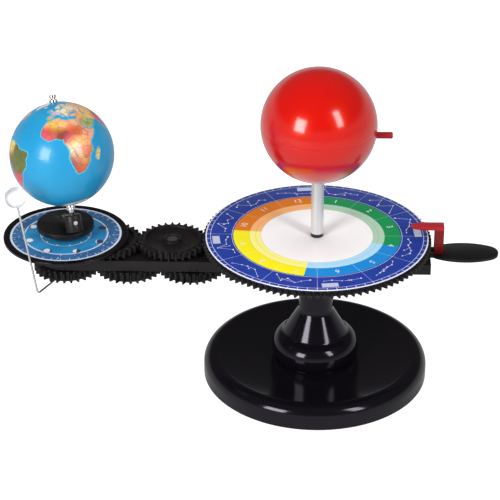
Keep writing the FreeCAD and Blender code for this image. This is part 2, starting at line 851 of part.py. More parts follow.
def arm():
    body = new_body("arm")
    sketch = new_sketch(body, "XY_Plane", arm_level)
    arm_plan(sketch, as_size(0))
    pad(body, sketch, d.arm_height)
    trough = new_sketch(body, "XY_Plane", arm_level)
    arm_plan(trough, d.arm_wall)
    pocket(body, trough, d.arm_height - d.arm_wall, up=True)
    neck = new_sketch(body, "XY_Plane", arm_web)
    near = arm_end - d.arm_wall
    outline(neck, [(near, -d.handle_neck), (handle_middle, -d.handle_neck),
                   (handle_middle, d.handle_neck), (near, d.handle_neck)])
    pad(body, neck, d.arm_wall)
    oval = new_sketch(body, "XY_Plane", arm_web)
    handle_oval(oval)
    pad(body, oval, d.arm_wall)
    # hub on the bearing sleeve
    hub_low = lower_wheel_top + d.thrust_washer_thick + d.running_gap
    hub_high = season_wheel_level - d.thrust_washer_thick - d.running_gap
    hub = new_sketch(body, "XY_Plane", hub_low)
    circle(hub, sleeve_radius + d.arm_hub_wall)
    pad(body, hub, hub_high - hub_low)
    # bosses of the lower wheels reach down to them, those of the upper wheels up
    low = new_sketch(body, "XY_Plane", lower_wheel_top + d.running_gap)
    for place in [*lower_places, earth_place]:
        circle(low, pin_boss, -place)
    pad(body, low, arm_web - lower_wheel_top)
    high = new_sketch(body, "XY_Plane", arm_web)
    for place in [*upper_places, earth_place]:
        circle(high, pin_boss, -place)
    pad(body, high, upper_wheel_level - d.running_gap - arm_web)
    # a rib along the middle and cross ribs stiffen the trough
    rib_height = d.arm_height - d.arm_wall / 2
    half_rib = d.arm_rib_thick / 2
    far = arm_end - d.arm_wall / 2
    spine = new_sketch(body, "XY_Plane", arm_level)
    outline(spine, [(-earth_place, -half_rib), (far, -half_rib), (far, half_rib), (-earth_place, half_rib)])
    pad(body, spine, rib_height)
    ribs = new_sketch(body, "XY_Plane", arm_level)
    inside = d.arm_half_width - d.arm_wall / 2
    between = [(lower + d.wheel_spacing / 2) * -1 for lower in lower_places]
    for place in [*between, (sleeve_radius + arm_end) / 2]:
        outline(ribs, [(place - half_rib, -inside), (place + half_rib, -inside),
                       (place + half_rib, inside), (place - half_rib, inside)])
    pad(body, ribs, rib_height)
    # bores
    top = season_wheel_level
    bore = new_sketch(body, "XY_Plane", top)
    circle(bore, sleeve_radius + d.close_fit)
    circle(bore, axle_bore, -earth_place)
    pocket(body, bore, top - lower_wheel_level)
    pins = new_sketch(body, "XY_Plane", top)
    for place in [*lower_places, *upper_places]:
        circle(pins, d.pin_radius, -place)
    pocket(body, pins, top - lower_wheel_level)
    screw = new_sketch(body, "XY_Plane", top)
    circle(screw, d.pointer_screw_radius + d.pointer_screw_play, pointer_middle)
    pocket(body, screw, top - lower_wheel_level)


def date_pointer():
    """An L-shaped pointer that stands on the handle's neck and reaches in over the dial."""
    body = new_body("date_pointer")
    half = d.pointer_width / 2
    post = new_sketch(body, "XY_Plane", arm_top)
    outline(post, [(pointer_near, -half), (pointer_far, -half), (pointer_far, half), (pointer_near, half)])
    pad(body, post, pointer_level + d.pointer_thick - arm_top)
    blade = new_sketch(body, "XY_Plane", pointer_level)
    narrow = d.pointer_tip_width / 2
    tip = dial_radius - d.pointer_reach
    shoulder = tip + d.pointer_width
    outline(blade, [(tip, -narrow), (shoulder, -half), (pointer_middle, -half),
                    (pointer_middle, half), (shoulder, half), (tip, narrow)])
    pad(body, blade, d.pointer_thick)
    hole = new_sketch(body, "XY_Plane", arm_top)
    circle(hole, d.pointer_screw_radius, pointer_middle)
    pocket(body, hole, d.pointer_screw_length + d.pointer_hole_spare, up=True)


def pointer_screw():
    low = arm_web - d.pointer_screw_head_thick
    high = arm_top + d.pointer_screw_length
    head, shank = d.pointer_screw_head, d.pointer_screw_radius
    corners = [(0, low), (head, low), (head, arm_web), (shank, arm_web), (shank, high), (0, high)]
    turned("pointer_screw", corners, at=(pointer_middle, 0, 0))


def lower_pins():
    """Three headed pins that hang from the arm and carry the lower idler wheels."""
    head_top = lower_wheel_level - d.running_gap
    head_low = head_top - d.pin_head_thick
    for number, place in enumerate(lower_places, 1):
        turned(f"lower_pin_{number}", [(0, head_low), (pin_head, head_low), (pin_head, head_top),
                                       (d.pin_radius, head_top), (d.pin_radius, arm_web), (0, arm_web)],
               at=(-place, 0, 0))


# The upper wheels' hubs are recessed for the heads of their pins
pin_recess = upper_wheel_top - d.pin_head_thick - d.running_gap * 2


def upper_pins():
    head_low = pin_recess + d.running_gap
    head_top = head_low + d.pin_head_thick
    low = (arm_level + arm_top) / 2
    for number, place in enumerate(upper_places, 1):
        turned(f"upper_pin_{number}", [(0, low), (d.pin_radius, low), (d.pin_radius, head_low),
                                       (pin_head, head_low), (pin_head, head_top), (0, head_top)],
               at=(-place, 0, 0))


def lower_idlers():
    turn = as_size(0)
    for number, place in enumerate(lower_places, 1):
        turn = mesh_turn(d.lower_teeth, turn, d.lower_teeth, Size(180))
        body = new_body(f"lower_idler_{number}", at=(-place, 0, lower_wheel_level), turn=turn)
        toothed(body, d.lower_teeth, d.lower_wheel_thick, pin_bore)
        web_out(body, d.lower_teeth, d.lower_wheel_thick)
    return turn


def web_out(body, teeth, thick):
    """Recesses both faces of a wheel between its hub and its rim."""
    rim = module * teeth / 2 - d.wheel_rim_depth
    hub = d.pin_radius + d.wheel_hub_wall
    dish_out(body, hub, rim, as_size(0), d.web_recess)
    dish_out(body, hub, rim, thick - d.web_recess, thick)


def upper_idlers():
    turn = as_size(0)
    teeth = d.season_teeth
    thick = d.upper_wheel_thick
    for number, place in enumerate(upper_places, 1):
        turn = mesh_turn(teeth, turn, d.upper_teeth, Size(180))
        teeth = d.upper_teeth
        body = new_body(f"upper_idler_{number}", at=(-place, 0, upper_wheel_level), turn=turn)
        toothed(body, teeth, thick, pin_bore)
        web_out(body, teeth, thick)
        dish_out(body, d.pin_radius, pin_head + d.running_gap, pin_recess - upper_wheel_level, thick)
    return turn


# The pinion, the disc of the Moon's phases on it, and its printed card
def phase_pinion(idler_turn):
    turn = mesh_turn(d.upper_teeth, idler_turn, d.pinion_teeth, Size(180))
    body = new_body("phase_pinion", at=(-earth_place, 0, upper_wheel_level), turn=turn)
    toothed(body, d.pinion_teeth, disc_level - upper_wheel_level, axle_bore, knee=True)


def phase_disc():
    radius, chamfer = d.disc_radius, d.disc_chamfer
    recess = radius - d.card_margin + d.card_play
    corners = [(axle_bore, disc_level), (radius - chamfer, disc_level), (radius, disc_level + chamfer),
               (radius, disc_brim - chamfer), (radius - chamfer, disc_brim), (recess, disc_brim),
               (recess, disc_floor), (axle_bore, disc_floor)]
    turned("phase_disc", corners, at=(-earth_place, 0, 0))


def phase_card():
    turned("phase_card", ring(axle_bore + d.card_hole_play, d.disc_radius - d.card_margin,
                              disc_floor, disc_floor + d.card_thick), at=(-earth_place, 0, 0))


# Carrier of the Earth: its wheel, axle, hub with the tilted socket, and rod
def earth_gear(idler_turn):
    turn = mesh_turn(d.lower_teeth, idler_turn, d.lower_teeth, Size(180))
    body = new_body("earth_gear", at=(-earth_place, 0, lower_wheel_level), turn=turn)
    toothed(body, d.lower_teeth, d.lower_wheel_thick, d.axle_radius)
    web_out(body, d.lower_teeth, d.lower_wheel_thick)


def earth_axle():
    low = axle_nut_low - d.axle_low_proud
    chamfer = d.axle_chamfer
    turned("earth_axle", [(0, low), (d.axle_radius, low), (d.axle_radius, axle_top - chamfer),
                          (d.axle_radius - chamfer, axle_top), (0, axle_top)], at=(-earth_place, 0, 0))


def axle_nut():
    body = new_body("axle_nut", at=(-earth_place, 0, axle_nut_low))
    sketch = new_sketch(body, "XY_Plane")
    hexagon(sketch, d.axle_radius + d.axle_nut_width)
    circle(sketch, d.axle_radius)
    pad(body, sketch, d.axle_nut_thick)


def along_rod(distance, side=0):
    """A point of the tilted rod's plane, by its distance along the rod over the globe's middle
    and its distance to the side."""
    distance = as_size(distance)
    side = as_size(side)
    tilt = d.earth_tilt
    return (distance * sine(tilt) + side * cosine(tilt),
            globe_level + distance * cosine(tilt) - side * sine(tilt))


def earth_hub():
    body = new_body("earth_hub", at=(-earth_place, 0, 0), turn=d.tilt_direction)
    edge = d.hub_edge_round
    corners = [(d.axle_radius, hub_level), (d.hub_foot_radius, hub_level),
               (d.hub_radius, hub_top - d.hub_brim), (d.hub_radius, hub_top - edge),
               (d.hub_radius - edge, hub_top), (hub_boss, hub_top),
               (hub_boss, hub_boss_top), (d.axle_radius, hub_boss_top)]
    turn_about(body, "Revolution", corners, {3: (edge, 1)})
    # the socket leans with the rod and grows out of the bowl
    mouth = -(rod_foot - d.socket_depth)
    floor = -rod_foot
    deep = floor - d.socket_floor
    chamfer = d.socket_chamfer
    turn_about(body, "Revolution",
               [along_rod(deep), along_rod(mouth), along_rod(mouth, socket_radius - chamfer),
                along_rod(mouth - chamfer, socket_radius), along_rod(deep, socket_radius)],
               axis=(along_rod(deep), along_rod(mouth)))
    gusset = new_sketch(body, "XZ_Plane")
    outline(gusset, [(-hub_boss / 2, hub_top - d.socket_floor / 2), (-hub_boss / 2, hub_boss_top),
                     along_rod(mouth - d.gusset_drop), along_rod(deep)])
    web = pad(body, gusset, d.gusset_thick)
    web.Midplane = True
    turn_about(body, "Groove",
               [along_rod(floor), along_rod(mouth + chamfer), along_rod(mouth + chamfer, d.rod_radius),
                along_rod(floor, d.rod_radius)],
               axis=(along_rod(floor), along_rod(mouth + chamfer)))
    # the grub screw's hole comes in from the side away from the axle
    level = floor + d.clamp_screw_rise
    edge = level + d.clamp_screw_radius
    inner, outer = -d.rod_radius / 2, -(socket_radius + d.clamp_screw_radius)
    turn_about(body, "Groove",
               [along_rod(level, inner), along_rod(level, outer), along_rod(edge, outer),
                along_rod(edge, inner)],
               axis=(along_rod(level, inner), along_rod(level, outer)))
    # the axle's bore goes through what was added over it
    bore = new_sketch(body, "XY_Plane", hub_boss_top)
    circle(bore, d.axle_radius)
    pocket(body, bore, d.hub_boss_height + d.hub_height)


on_rod = {"at": (-earth_place, 0, globe_level), "tilt": d.earth_tilt, "lean": d.tilt_direction}


def globe_rod():
    """The rod has a collar that the globe rests on."""
    foot, top = -rod_foot, rod_top - d.rod_cap_height / 2
    wide = d.rod_radius + d.rod_collar_width
    collar = -(d.globe_radius + d.globe_bush_height + d.running_gap)
    low = collar - d.rod_collar_thick
    turned("globe_rod", [(0, foot), (d.rod_radius, foot), (d.rod_radius, low), (wide, low), (wide, collar),
                         (d.rod_radius, collar), (d.rod_radius, top), (0, top)], **on_rod)


def rod_cap():
    low = rod_top - d.rod_cap_height
    seat = rod_top - d.rod_cap_height / 2
    edge = d.rod_cap_wall
    wide = d.rod_radius + edge
    corners = [(0, seat), (d.rod_radius, seat), (d.rod_radius, low), (wide, low),
               (wide, rod_top - edge), (wide - edge, rod_top), (0, rod_top)]
    turned("rod_cap", corners, {4: (edge, 1)}, **on_rod)


def clamp_screw():
    """A grub screw in the socket's side that holds the rod."""
    body = new_body("clamp_screw", at=(-earth_place, 0, 0), turn=d.tilt_direction)
    level = d.clamp_screw_rise - rod_foot
    tip, head = -d.rod_radius, -(socket_radius + d.clamp_screw_proud)
    half = d.clamp_screw_radius
    turn_about(body, "Revolution",
               [along_rod(level, tip), along_rod(level, head), along_rod(level + half, head),
                along_rod(level + half, tip)],
               axis=(along_rod(level, tip), along_rod(level, head)))


def globe_bushes():
    """Collars at the globe's poles, seated on the shells."""
    bore = d.rod_radius + d.close_fit
    seat = at_height(d.globe_radius, bush_radius)
    high = d.globe_radius + d.globe_bush_height
    for label, low, top in (("globe_north_bush", seat, high), ("globe_south_bush", -high, -seat)):
        turned(label, ring(bore, bush_radius, low, top), **on_rod)


def globe_shell(label, sign):
    """Half of the globe. The southern half has the lip that the northern half goes over."""
    outside, inside = d.globe_radius, d.globe_radius - d.globe_wall
    hole = bush_radius
    lip = d.globe_lip
    pole_out, pole_in = at_height(outside, hole), at_height(inside, hole)
    if sign > 0:
        seam = inside + d.close_fit
        cleared = inside - d.close_fit
        corners = [(seam, 0), (outside, 0), (hole, pole_out), (hole, at_height(cleared, hole)),
                   (at_height(cleared, lip), lip), (seam, lip)]
        arcs = {1: (outside, 1), 3: (cleared, -1)}
    else:
        lip_in = inside - d.globe_wall
        corners = [(hole, -pole_out), (outside, 0), (inside, 0), (inside, lip), (lip_in, lip),
                   (lip_in, -lip), (at_height(inside, lip), -lip), (hole, -pole_in)]
        arcs = {0: (outside, 1), 6: (inside, -1)}
    turned(label, corners, arcs, **on_rod)


# Moon: a ball on a wire that is bent at the bottom and turns on the Earth's axle
def moon_hub():
    body = turned("moon_hub", ring(axle_bore, moon_hub_radius, moon_hub_low, moon_hub_top),
                  at=(-earth_place, 0, 0), turn=d.moon_direction)
    hole = new_sketch(body, "YZ_Plane", moon_hub_radius)
    circle(hole, d.wire_radius, 0, wire_level)
    pocket(body, hole, d.moon_hub_wall - d.wire_hole_end)


def moon_wire():
    body = new_body("moon_wire", at=(-earth_place, 0, 0), turn=d.moon_direction)
    start = d.axle_radius + d.wire_hole_end
    rise = 90 - wire_lean
    cut = d.wire_bend * tangent(rise / 2)
    bend_start = (wire_corner - cut, wire_level)
    bend_end = (wire_corner + cut * cosine(rise), wire_level + cut * sine(rise))
    tip = (moon_orbit, moon_level)
    path = new_sketch(body, "XZ_Plane")
    first = path.addGeometry(Part.LineSegment(vector(start, wire_level), vector(*bend_start)))
    flat = ((bend_start[0].value, bend_start[1].value), (bend_end[0].value, bend_end[1].value))
    bend = path.addGeometry(arc_between(*flat, d.wire_bend.value, 1)[0])
    last = path.addGeometry(Part.LineSegment(vector(*bend_end), vector(*tip)))
    pin_point(path, first, 1, start, wire_level)
    pin_point(path, first, 2, *bend_start)
    pin_point(path, bend, 2, *bend_end)
    pin_point(path, last, 2, *tip)
    path.addConstraint(Sketcher.Constraint("Coincident", first, 2, bend, 1))
    path.addConstraint(Sketcher.Constraint("Coincident", bend, 2, last, 1))
    number = path.addConstraint(Sketcher.Constraint("Radius", bend, d.wire_bend.value))
    path.setExpression(f"Constraints[{number}]", d.wire_bend.text)
    section = new_sketch(body, "YZ_Plane", start)
    circle(section, d.wire_radius, 0, wire_level)
    sweep = body.newObject("PartDesign::AdditivePipe", "moon_wire_sweep")
    sweep.Profile = section
    sweep.Spine = path


def vector(x, y):
    return FreeCAD.Vector(as_size(x).value, as_size(y).value, 0)


def moon_ball():
    """A ball with a blind hole for the wire's end, leaning as the wire does."""
    radius, bore = d.moon_radius, d.wire_radius
    aside = moon_orbit * cosine(d.moon_direction)
    place = (aside - earth_place, moon_orbit * sine(d.moon_direction), moon_level)
    turned("moon_ball", [(0, 0), (bore, 0), (bore, -at_height(radius, bore)), (0, radius)],
           {2: (radius, 1)}, at=place, tilt=wire_lean, lean=d.moon_direction)


def build():
    base_shell()
    base_cover()
    base_screws()
    felt_disc()
    ballast_disc()
    pedestal_bell()
    spindle()
    spindle_nut("spindle_foot_nut", foot_nut_level)
    spindle_washer()
    spindle_nut("spindle_top_nut", socket_roof)
    fixed_wheel()
    bearing_sleeve()
    thrust_washers()
    season_wheel()
    season_dial()
    sun_post()
    sun_lower()
    sun_upper()
    sun_peg()
    arm()
    date_pointer()
    pointer_screw()
    lower_pins()
    upper_pins()
    lower_turn = lower_idlers()
    upper_turn = upper_idlers()
    phase_pinion(upper_turn)
    phase_disc()
    phase_card()
    earth_gear(lower_turn)
    earth_axle()
    axle_nut()
    earth_hub()
    globe_rod()
    clamp_screw()
    rod_cap()
    globe_bushes()
    globe_shell("globe_north", 1)
    globe_shell("globe_south", -1)
    moon_hub()
    moon_wire()
    moon_ball()


build()
doc.recompute()
faults = [f"{thing.Label}: {thing.getStatusString()}" for thing in doc.Objects
          if {"Invalid", "Error"} & set(thing.State)]
faults += [body.Label for body in parts if body.Shape.isNull() or not body.Shape.isValid()]
if faults:
    sys.exit(f"failed: {sorted(set(faults))}")
os.makedirs("parts", exist_ok=True)
for body in parts:
    body.Shape.exportStep(os.path.join("parts", f"{body.Label}.step"))
    print(f"{body.Label:22s} {len(body.Shape.Solids)} solid  {body.Shape.Volume:12.1f} mm3")
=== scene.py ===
import json
import math
import random

import bmesh
import bpy
import numpy as np
from mathutils import Matrix, Vector

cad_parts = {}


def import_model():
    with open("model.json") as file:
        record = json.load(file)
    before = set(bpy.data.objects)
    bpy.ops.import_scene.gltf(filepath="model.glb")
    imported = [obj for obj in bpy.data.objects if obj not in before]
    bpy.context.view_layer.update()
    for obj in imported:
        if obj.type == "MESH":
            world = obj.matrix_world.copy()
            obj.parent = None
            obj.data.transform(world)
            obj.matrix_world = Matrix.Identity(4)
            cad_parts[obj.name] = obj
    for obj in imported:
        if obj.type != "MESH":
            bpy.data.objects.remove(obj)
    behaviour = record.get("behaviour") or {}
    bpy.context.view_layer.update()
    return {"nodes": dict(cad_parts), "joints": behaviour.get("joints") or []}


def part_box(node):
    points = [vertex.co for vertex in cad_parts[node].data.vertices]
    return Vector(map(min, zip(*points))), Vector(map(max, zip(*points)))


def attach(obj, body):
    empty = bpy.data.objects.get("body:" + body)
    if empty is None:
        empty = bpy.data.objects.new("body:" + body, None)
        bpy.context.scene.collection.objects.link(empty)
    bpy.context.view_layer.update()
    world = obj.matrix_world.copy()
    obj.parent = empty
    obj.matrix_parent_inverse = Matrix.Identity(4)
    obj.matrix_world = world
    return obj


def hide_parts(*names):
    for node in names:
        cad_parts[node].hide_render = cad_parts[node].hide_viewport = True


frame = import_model()
nodes = frame["nodes"]

MM = 0.001
ROUND = 2 * math.pi
# Bores of the pieces on the spindle and on the Earth's axle, in millimetres as radii
SPINDLE_BORE = 4.05
AXLE_BORE = 2.55

# Places of the object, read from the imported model
base_low, base_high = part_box("base_shell")
bell_low, bell_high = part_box("pedestal_bell")
dial_low, dial_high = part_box("season_dial")
sun_low, sun_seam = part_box("sun_lower_shell")[0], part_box("sun_upper_shell")[0].z
sun_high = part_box("sun_upper_shell")[1]
disc_low, disc_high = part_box("phase_disc")
card_low, card_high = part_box("phase_card")
joints = {joint["name"]: joint for joint in frame["joints"]}
globe_middle = Vector(joints["globe_spin"]["pos_m"])
globe_axis = Vector(joints["globe_spin"]["axis"])
earth_x = joints["earth_turn"]["pos_m"][0]
base_radius = base_high.x
dial_radius = dial_high.x
dial_top = dial_high.z
sun_radius = (sun_high.z - sun_low.z) / 2
moon_low, moon_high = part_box("moon_ball")
moon_middle = (moon_low + moon_high) / 2
moon_radius = (moon_high.x - moon_low.x) / 2


def colour(red, green, blue):
    """A colour as a screen shows it, from 0 to 255, for a shader's socket."""
    parts = [value / 255 for value in (red, green, blue)]
    linear = [v / 12.92 if v < 0.04045 else ((v + 0.055) / 1.055) ** 2.4 for v in parts]
    return (*linear, 1.0)


def grey(value):
    return (value, value, value, 1)


class Amount:
    """A number that varies over a surface, so that its maths reads as sums and products."""

    def __init__(self, paint, socket):
        self.paint = paint
        self.socket = socket

    def maths(self, operation, *values):
        return self.paint.node("Math", {"operation": operation}, dict(enumerate(values)))

    def __add__(self, other):
        return self.maths("ADD", self, other)

    def __radd__(self, other):
        return self.maths("ADD", other, self)

    def __sub__(self, other):
        return self.maths("SUBTRACT", self, other)

    def __rsub__(self, other):
        return self.maths("SUBTRACT", other, self)

    def __mul__(self, other):
        return self.maths("MULTIPLY", self, other)

    def __rmul__(self, other):
        return self.maths("MULTIPLY", other, self)

    def __truediv__(self, other):
        return self.maths("DIVIDE", self, other)

    def __pow__(self, other):
        return self.maths("POWER", self, other)

    def __gt__(self, other):
        return self.maths("GREATER_THAN", self, other)

    def __lt__(self, other):
        return self.maths("LESS_THAN", self, other)

    def __abs__(self):
        return self.maths("ABSOLUTE", self)


class Nodes:
    """A tree of shader nodes."""

    def __init__(self, tree):
        self.tree = tree

    def feed(self, socket, value):
        if isinstance(value, Amount):
            self.tree.links.new(value.socket, socket)
        else:
            socket.default_value = value

    def node(self, kind, settings=None, inputs=None, output=0):
        made = self.tree.nodes.new("ShaderNode" + kind)
        for key, value in (settings or {}).items():
            if key == "stops":
                stops = made.color_ramp.elements
                while len(stops) < len(value):
                    stops.new(1)
                for stop, (place, shade) in zip(stops, value):
                    stop.position = place
                    stop.color = shade
            else:
                setattr(made, key, value)
        for key, value in (inputs or {}).items():
            self.feed(made.inputs[key], value)
        return Amount(self, made.outputs[output])

    def place(self):
        """The place on the object in millimetres."""
        coordinates = self.node("TexCoord", output="Object")
        return self.node("VectorMath", {"operation": "SCALE"}, {0: coordinates, "Scale": 1000})

    def axes(self, place):
        split = self.node("SeparateXYZ", inputs={0: place}).socket.node
        return [Amount(self, output) for output in split.outputs]

    def noise(self, place, scale, detail=2.0, rough=0.5):
        return self.node("TexNoise", inputs={"Vector": place, "Scale": scale, "Detail": detail,
                                             "Roughness": rough})

    def grooves(self, up, scale):
        """Unevenness along one axis only, as turning or drawing leaves it."""
        return self.node("TexNoise", {"noise_dimensions": "1D"}, {"W": up, "Scale": scale, "Detail": 2.0})

    def mix(self, factor, first, second, blend="MIX"):
        return self.node("Mix", {"data_type": "RGBA", "blend_type": blend},
                         {0: factor, 6: first, 7: second}, output=2)

    def between(self, value, low, high):
        return (value > low) * (value < high)

    def line(self, far, place, half):
        return abs(far - place) < half

    def ticks(self, angle, spacing, share):
        """Marks round a middle, one at each step of an angle."""
        step = angle / spacing
        return abs(step.maths("FRACT", step) - 0.5) > share

    def rays(self):
        """Whether a ray comes from the camera or through glass, and whether it is a reflection."""
        seen = self.node("LightPath").socket.node.outputs
        return (Amount(self, seen["Is Camera Ray"]) + Amount(self, seen["Is Transmission Ray"]),
                Amount(self, seen["Is Glossy Ray"]))


class Paint(Nodes):
    """A material in the making, with the shader that its nodes feed."""

    def __init__(self, name, **sockets):
        self.material = bpy.data.materials.new(name)
        self.material.use_nodes = True
        super().__init__(self.material.node_tree)
        self.shader = self.tree.nodes["Principled BSDF"]
        for key, value in sockets.items():
            self.shade(key.replace("_", " ").title().replace("Ior", "IOR"), value)

    def shade(self, socket, value):
        self.feed(self.shader.inputs[socket], value)

    def bump(self, height, distance, strength=1.0):
        self.shade("Normal", self.node("Bump", inputs={"Height": height, "Distance": distance,
                                                       "Strength": strength}))


# Finishes
def moulded_gloss(name, shade, roughness, wear=0.03):
    """Polished moulding: a faint unevenness of its gloss and surface."""
    paint = Paint(name, base_color=shade, roughness=roughness)
    place = paint.place()
    cloud = paint.noise(place, 0.06, 3)
    fine = paint.noise(place, 0.9, 2)
    paint.shade("Roughness", cloud * wear + fine * wear + (roughness - wear))
    paint.bump(paint.noise(place, 0.22, 2), 0.02 * MM, 0.5)
    return paint


def black_gloss():
    paint = moulded_gloss("black_gloss", colour(15, 12, 17), 0.12)
    paint.shade("Specular IOR Level", 0.34)
    paint.shade("Specular Tint", colour(244, 240, 255))
    return paint.material


def black_satin(name="black_satin", grain=2.2):
    """Satin moulding with a fine grain, a little paler where it is rubbed."""
    paint = Paint(name, roughness=0.42, specular_ior_level=0.3)
    place = paint.place()
    cloud = paint.noise(place, 0.08, 3)
    fine = paint.noise(place, grain, 3)
    paint.shade("Base Color", paint.mix(cloud, colour(14, 12, 13), colour(27, 23, 23)))
    paint.shade("Roughness", cloud * 0.12 + fine * 0.08 + 0.3)
    paint.bump(fine, 0.05 * MM, 0.6)
    return paint.material


def polished_metal(name, shade, roughness):
    paint = Paint(name, base_color=shade, metallic=1.0, roughness=roughness)
    place = paint.place()
    paint.shade("Roughness", paint.noise(place, 0.7, 3) * roughness + roughness / 2)
    return paint.material


def turned_metal(name, shade, roughness):
    """Metal with the fine grooves that a lathe leaves, round a standing axis."""
    paint = Paint(name, base_color=shade, metallic=1.0, roughness=roughness)
    place = paint.place()
    lines = paint.grooves(paint.axes(place)[2], 14.0)
    paint.shade("Roughness", lines * 0.15 + (roughness - 0.07))
    paint.bump(lines, 0.02 * MM, 0.4)
    return paint.material


# Height over the dial's top, in millimetres, of the painted shade at the post's foot
POST_FOOT_SHADE = 3.2


def post_metal():
    """Bright brushed metal, with painted shade that makes it dark where the post meets the dial."""
    paint = Paint("post_metal", metallic=0.45, roughness=0.32)
    up = paint.axes(paint.place())[2]
    lines = paint.grooves(up, 9.0)
    bright = paint.mix(lines, colour(196, 196, 198), colour(226, 226, 228))
    # Painted shade: the post is dark just above the dial
    paint.shade("Base Color", paint.mix(up < dial_top / MM + POST_FOOT_SHADE, bright, colour(44, 42, 42)))
    paint.shade("Roughness", lines * 0.12 + 0.26)
    return paint.material


def sun_gloss():
    """Glossy red moulding that glows a little orange where the lamps meet it."""
    paint = Paint("sun_red", roughness=0.36, coat_weight=1.0, coat_roughness=0.15, coat_ior=1.5)
    paint.shade("Specular Tint", colour(255, 90, 0))
    paint.shade("Specular IOR Level", 0.7)
    place = paint.place()
    cloud = paint.noise(place, 0.03, 2)
    paint.shade("Base Color", paint.mix(cloud, colour(198, 2, 1), colour(208, 5, 2)))
    paint.bump(paint.noise(place, 0.12, 1), 0.02 * MM, 0.5)
    return paint.material


# Depth under the pointer's top, in millimetres, below which painted shade darkens it
POINTER_SHADE_DEPTH = 3.2


def pointer_gloss():
    """Red moulding, with painted shade that makes it darker below the blade."""
    paint = moulded_gloss("pointer_red", colour(160, 30, 36), 0.3)
    up = paint.axes(paint.place())[2]
    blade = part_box("date_pointer")[1].z / MM - POINTER_SHADE_DEPTH
    # Painted shade: the upright part below the blade is a darker red
    paint.shade("Base Color", paint.mix(up > blade, colour(122, 18, 18), colour(166, 34, 40)))
    paint.shade("Specular IOR Level", 0.3)
    return paint.material


def moon_white():
    """Pale, slightly see-through ball."""
    paint = Paint("moon_white", roughness=0.4, ior=1.2, transmission_weight=0.75)
    place = paint.place()
    patches = paint.noise(place, 0.22, 4)
    paint.shade("Base Color", paint.mix(patches, colour(236, 237, 238), colour(252, 252, 252)))
    paint.bump(patches, 0.1 * MM, 0.4)
    return paint.material


def felt():
    paint = Paint("felt", roughness=0.95)
    place = paint.place()
    hairs = paint.noise(place, 3.0, 4)
    paint.shade("Base Color", paint.mix(hairs, colour(22, 22, 24), colour(52, 52, 54)))
    paint.bump(hairs, 0.3 * MM)
    return paint.material


def around(paint, x, y):
    """The angle about the middle in degrees, from 0 to 360."""
    turn = paint.node("Math", {"operation": "ARCTAN2"}, {0: y, 1: x}) * (180 / math.pi)
    return turn + (turn < 0) * 360


# The dial's rings in millimetres and its seasons by the angle at which each begins
DIAL_RIM_LINE = 1.1
DIAL_SEASON_OUT = 73.1
DIAL_TINT_OUT = 59.1
DIAL_TINT_IN = 49.0
DIAL_SCALE = 4.4
DIAL_INNER_SCALE = 4.6
DIAL_PRINT_DEPTH = 1.6
SEASONS = [
    (0, colour(18, 150, 84), colour(176, 212, 186)),
    (94, colour(226, 124, 20), colour(252, 184, 118)),
    (174, colour(246, 236, 22), colour(250, 246, 140)),
    (261, colour(18, 138, 214), colour(172, 226, 250)),
    (345, colour(18, 150, 84), colour(176, 212, 186)),
]


def dial_print():
    """A blue sky ring round a ring of the four seasons, their tints and a white middle."""
    paint = Paint("dial_print", roughness=0.32, specular_ior_level=0.2)
    place = paint.place()
    x, y, z = paint.axes(place)
    far = (x * x + y * y) ** 0.5
    angle = around(paint, x, y)
    bright, tint = SEASONS[0][1], SEASONS[0][2]
    for start, strong, pale in SEASONS[1:]:
        later = angle > start
        bright = paint.mix(later, bright, strong)
        tint = paint.mix(later, tint, pale)
    edge = dial_radius / MM
    cloud = paint.noise(place, 0.05, 3)
    sky = paint.mix(cloud, colour(24, 44, 136), colour(40, 72, 168))
    face = paint.mix(far < edge - DIAL_RIM_LINE, colour(232, 234, 240), sky)
    face = paint.mix(far < DIAL_SEASON_OUT, face, bright)
    face = paint.mix(far < DIAL_TINT_OUT, face, tint)
    face = paint.mix(far < DIAL_TINT_IN, face, colour(250, 250, 250))
    white = colour(236, 240, 250)
    for line in (edge - DIAL_SCALE, DIAL_SEASON_OUT + 1.2):
        face = paint.mix(paint.line(far, line, 0.22) * 0.75, face, white)
    for line in (DIAL_TINT_OUT, DIAL_TINT_IN + DIAL_INNER_SCALE, DIAL_TINT_IN):
        face = paint.mix(paint.line(far, line, 0.16) * 0.35, face, colour(70, 80, 90))
    scale = paint.ticks(angle, 5, 0.47) * paint.between(far, edge - DIAL_SCALE, edge - DIAL_RIM_LINE)
    face = paint.mix(scale * 0.8, face, white)
    printed = paint.between(far, DIAL_TINT_IN + DIAL_INNER_SCALE, edge - DIAL_SCALE)
    bars = paint.ticks(angle, 30, 0.4965) * printed
    face = paint.mix(bars * 0.55, face, white)
    below = z < dial_low.z / MM + DIAL_PRINT_DEPTH
    paint.shade("Base Color", paint.mix(below, face, colour(30, 34, 60)))
    paint.shade("Roughness", cloud * 0.1 + 0.28)
    paint.bump(paint.noise(place, 1.2, 2), 0.01 * MM, 0.3)
    return paint.material


CARD_LINE = 36.6
CARD_INNER_LINE = 22.0


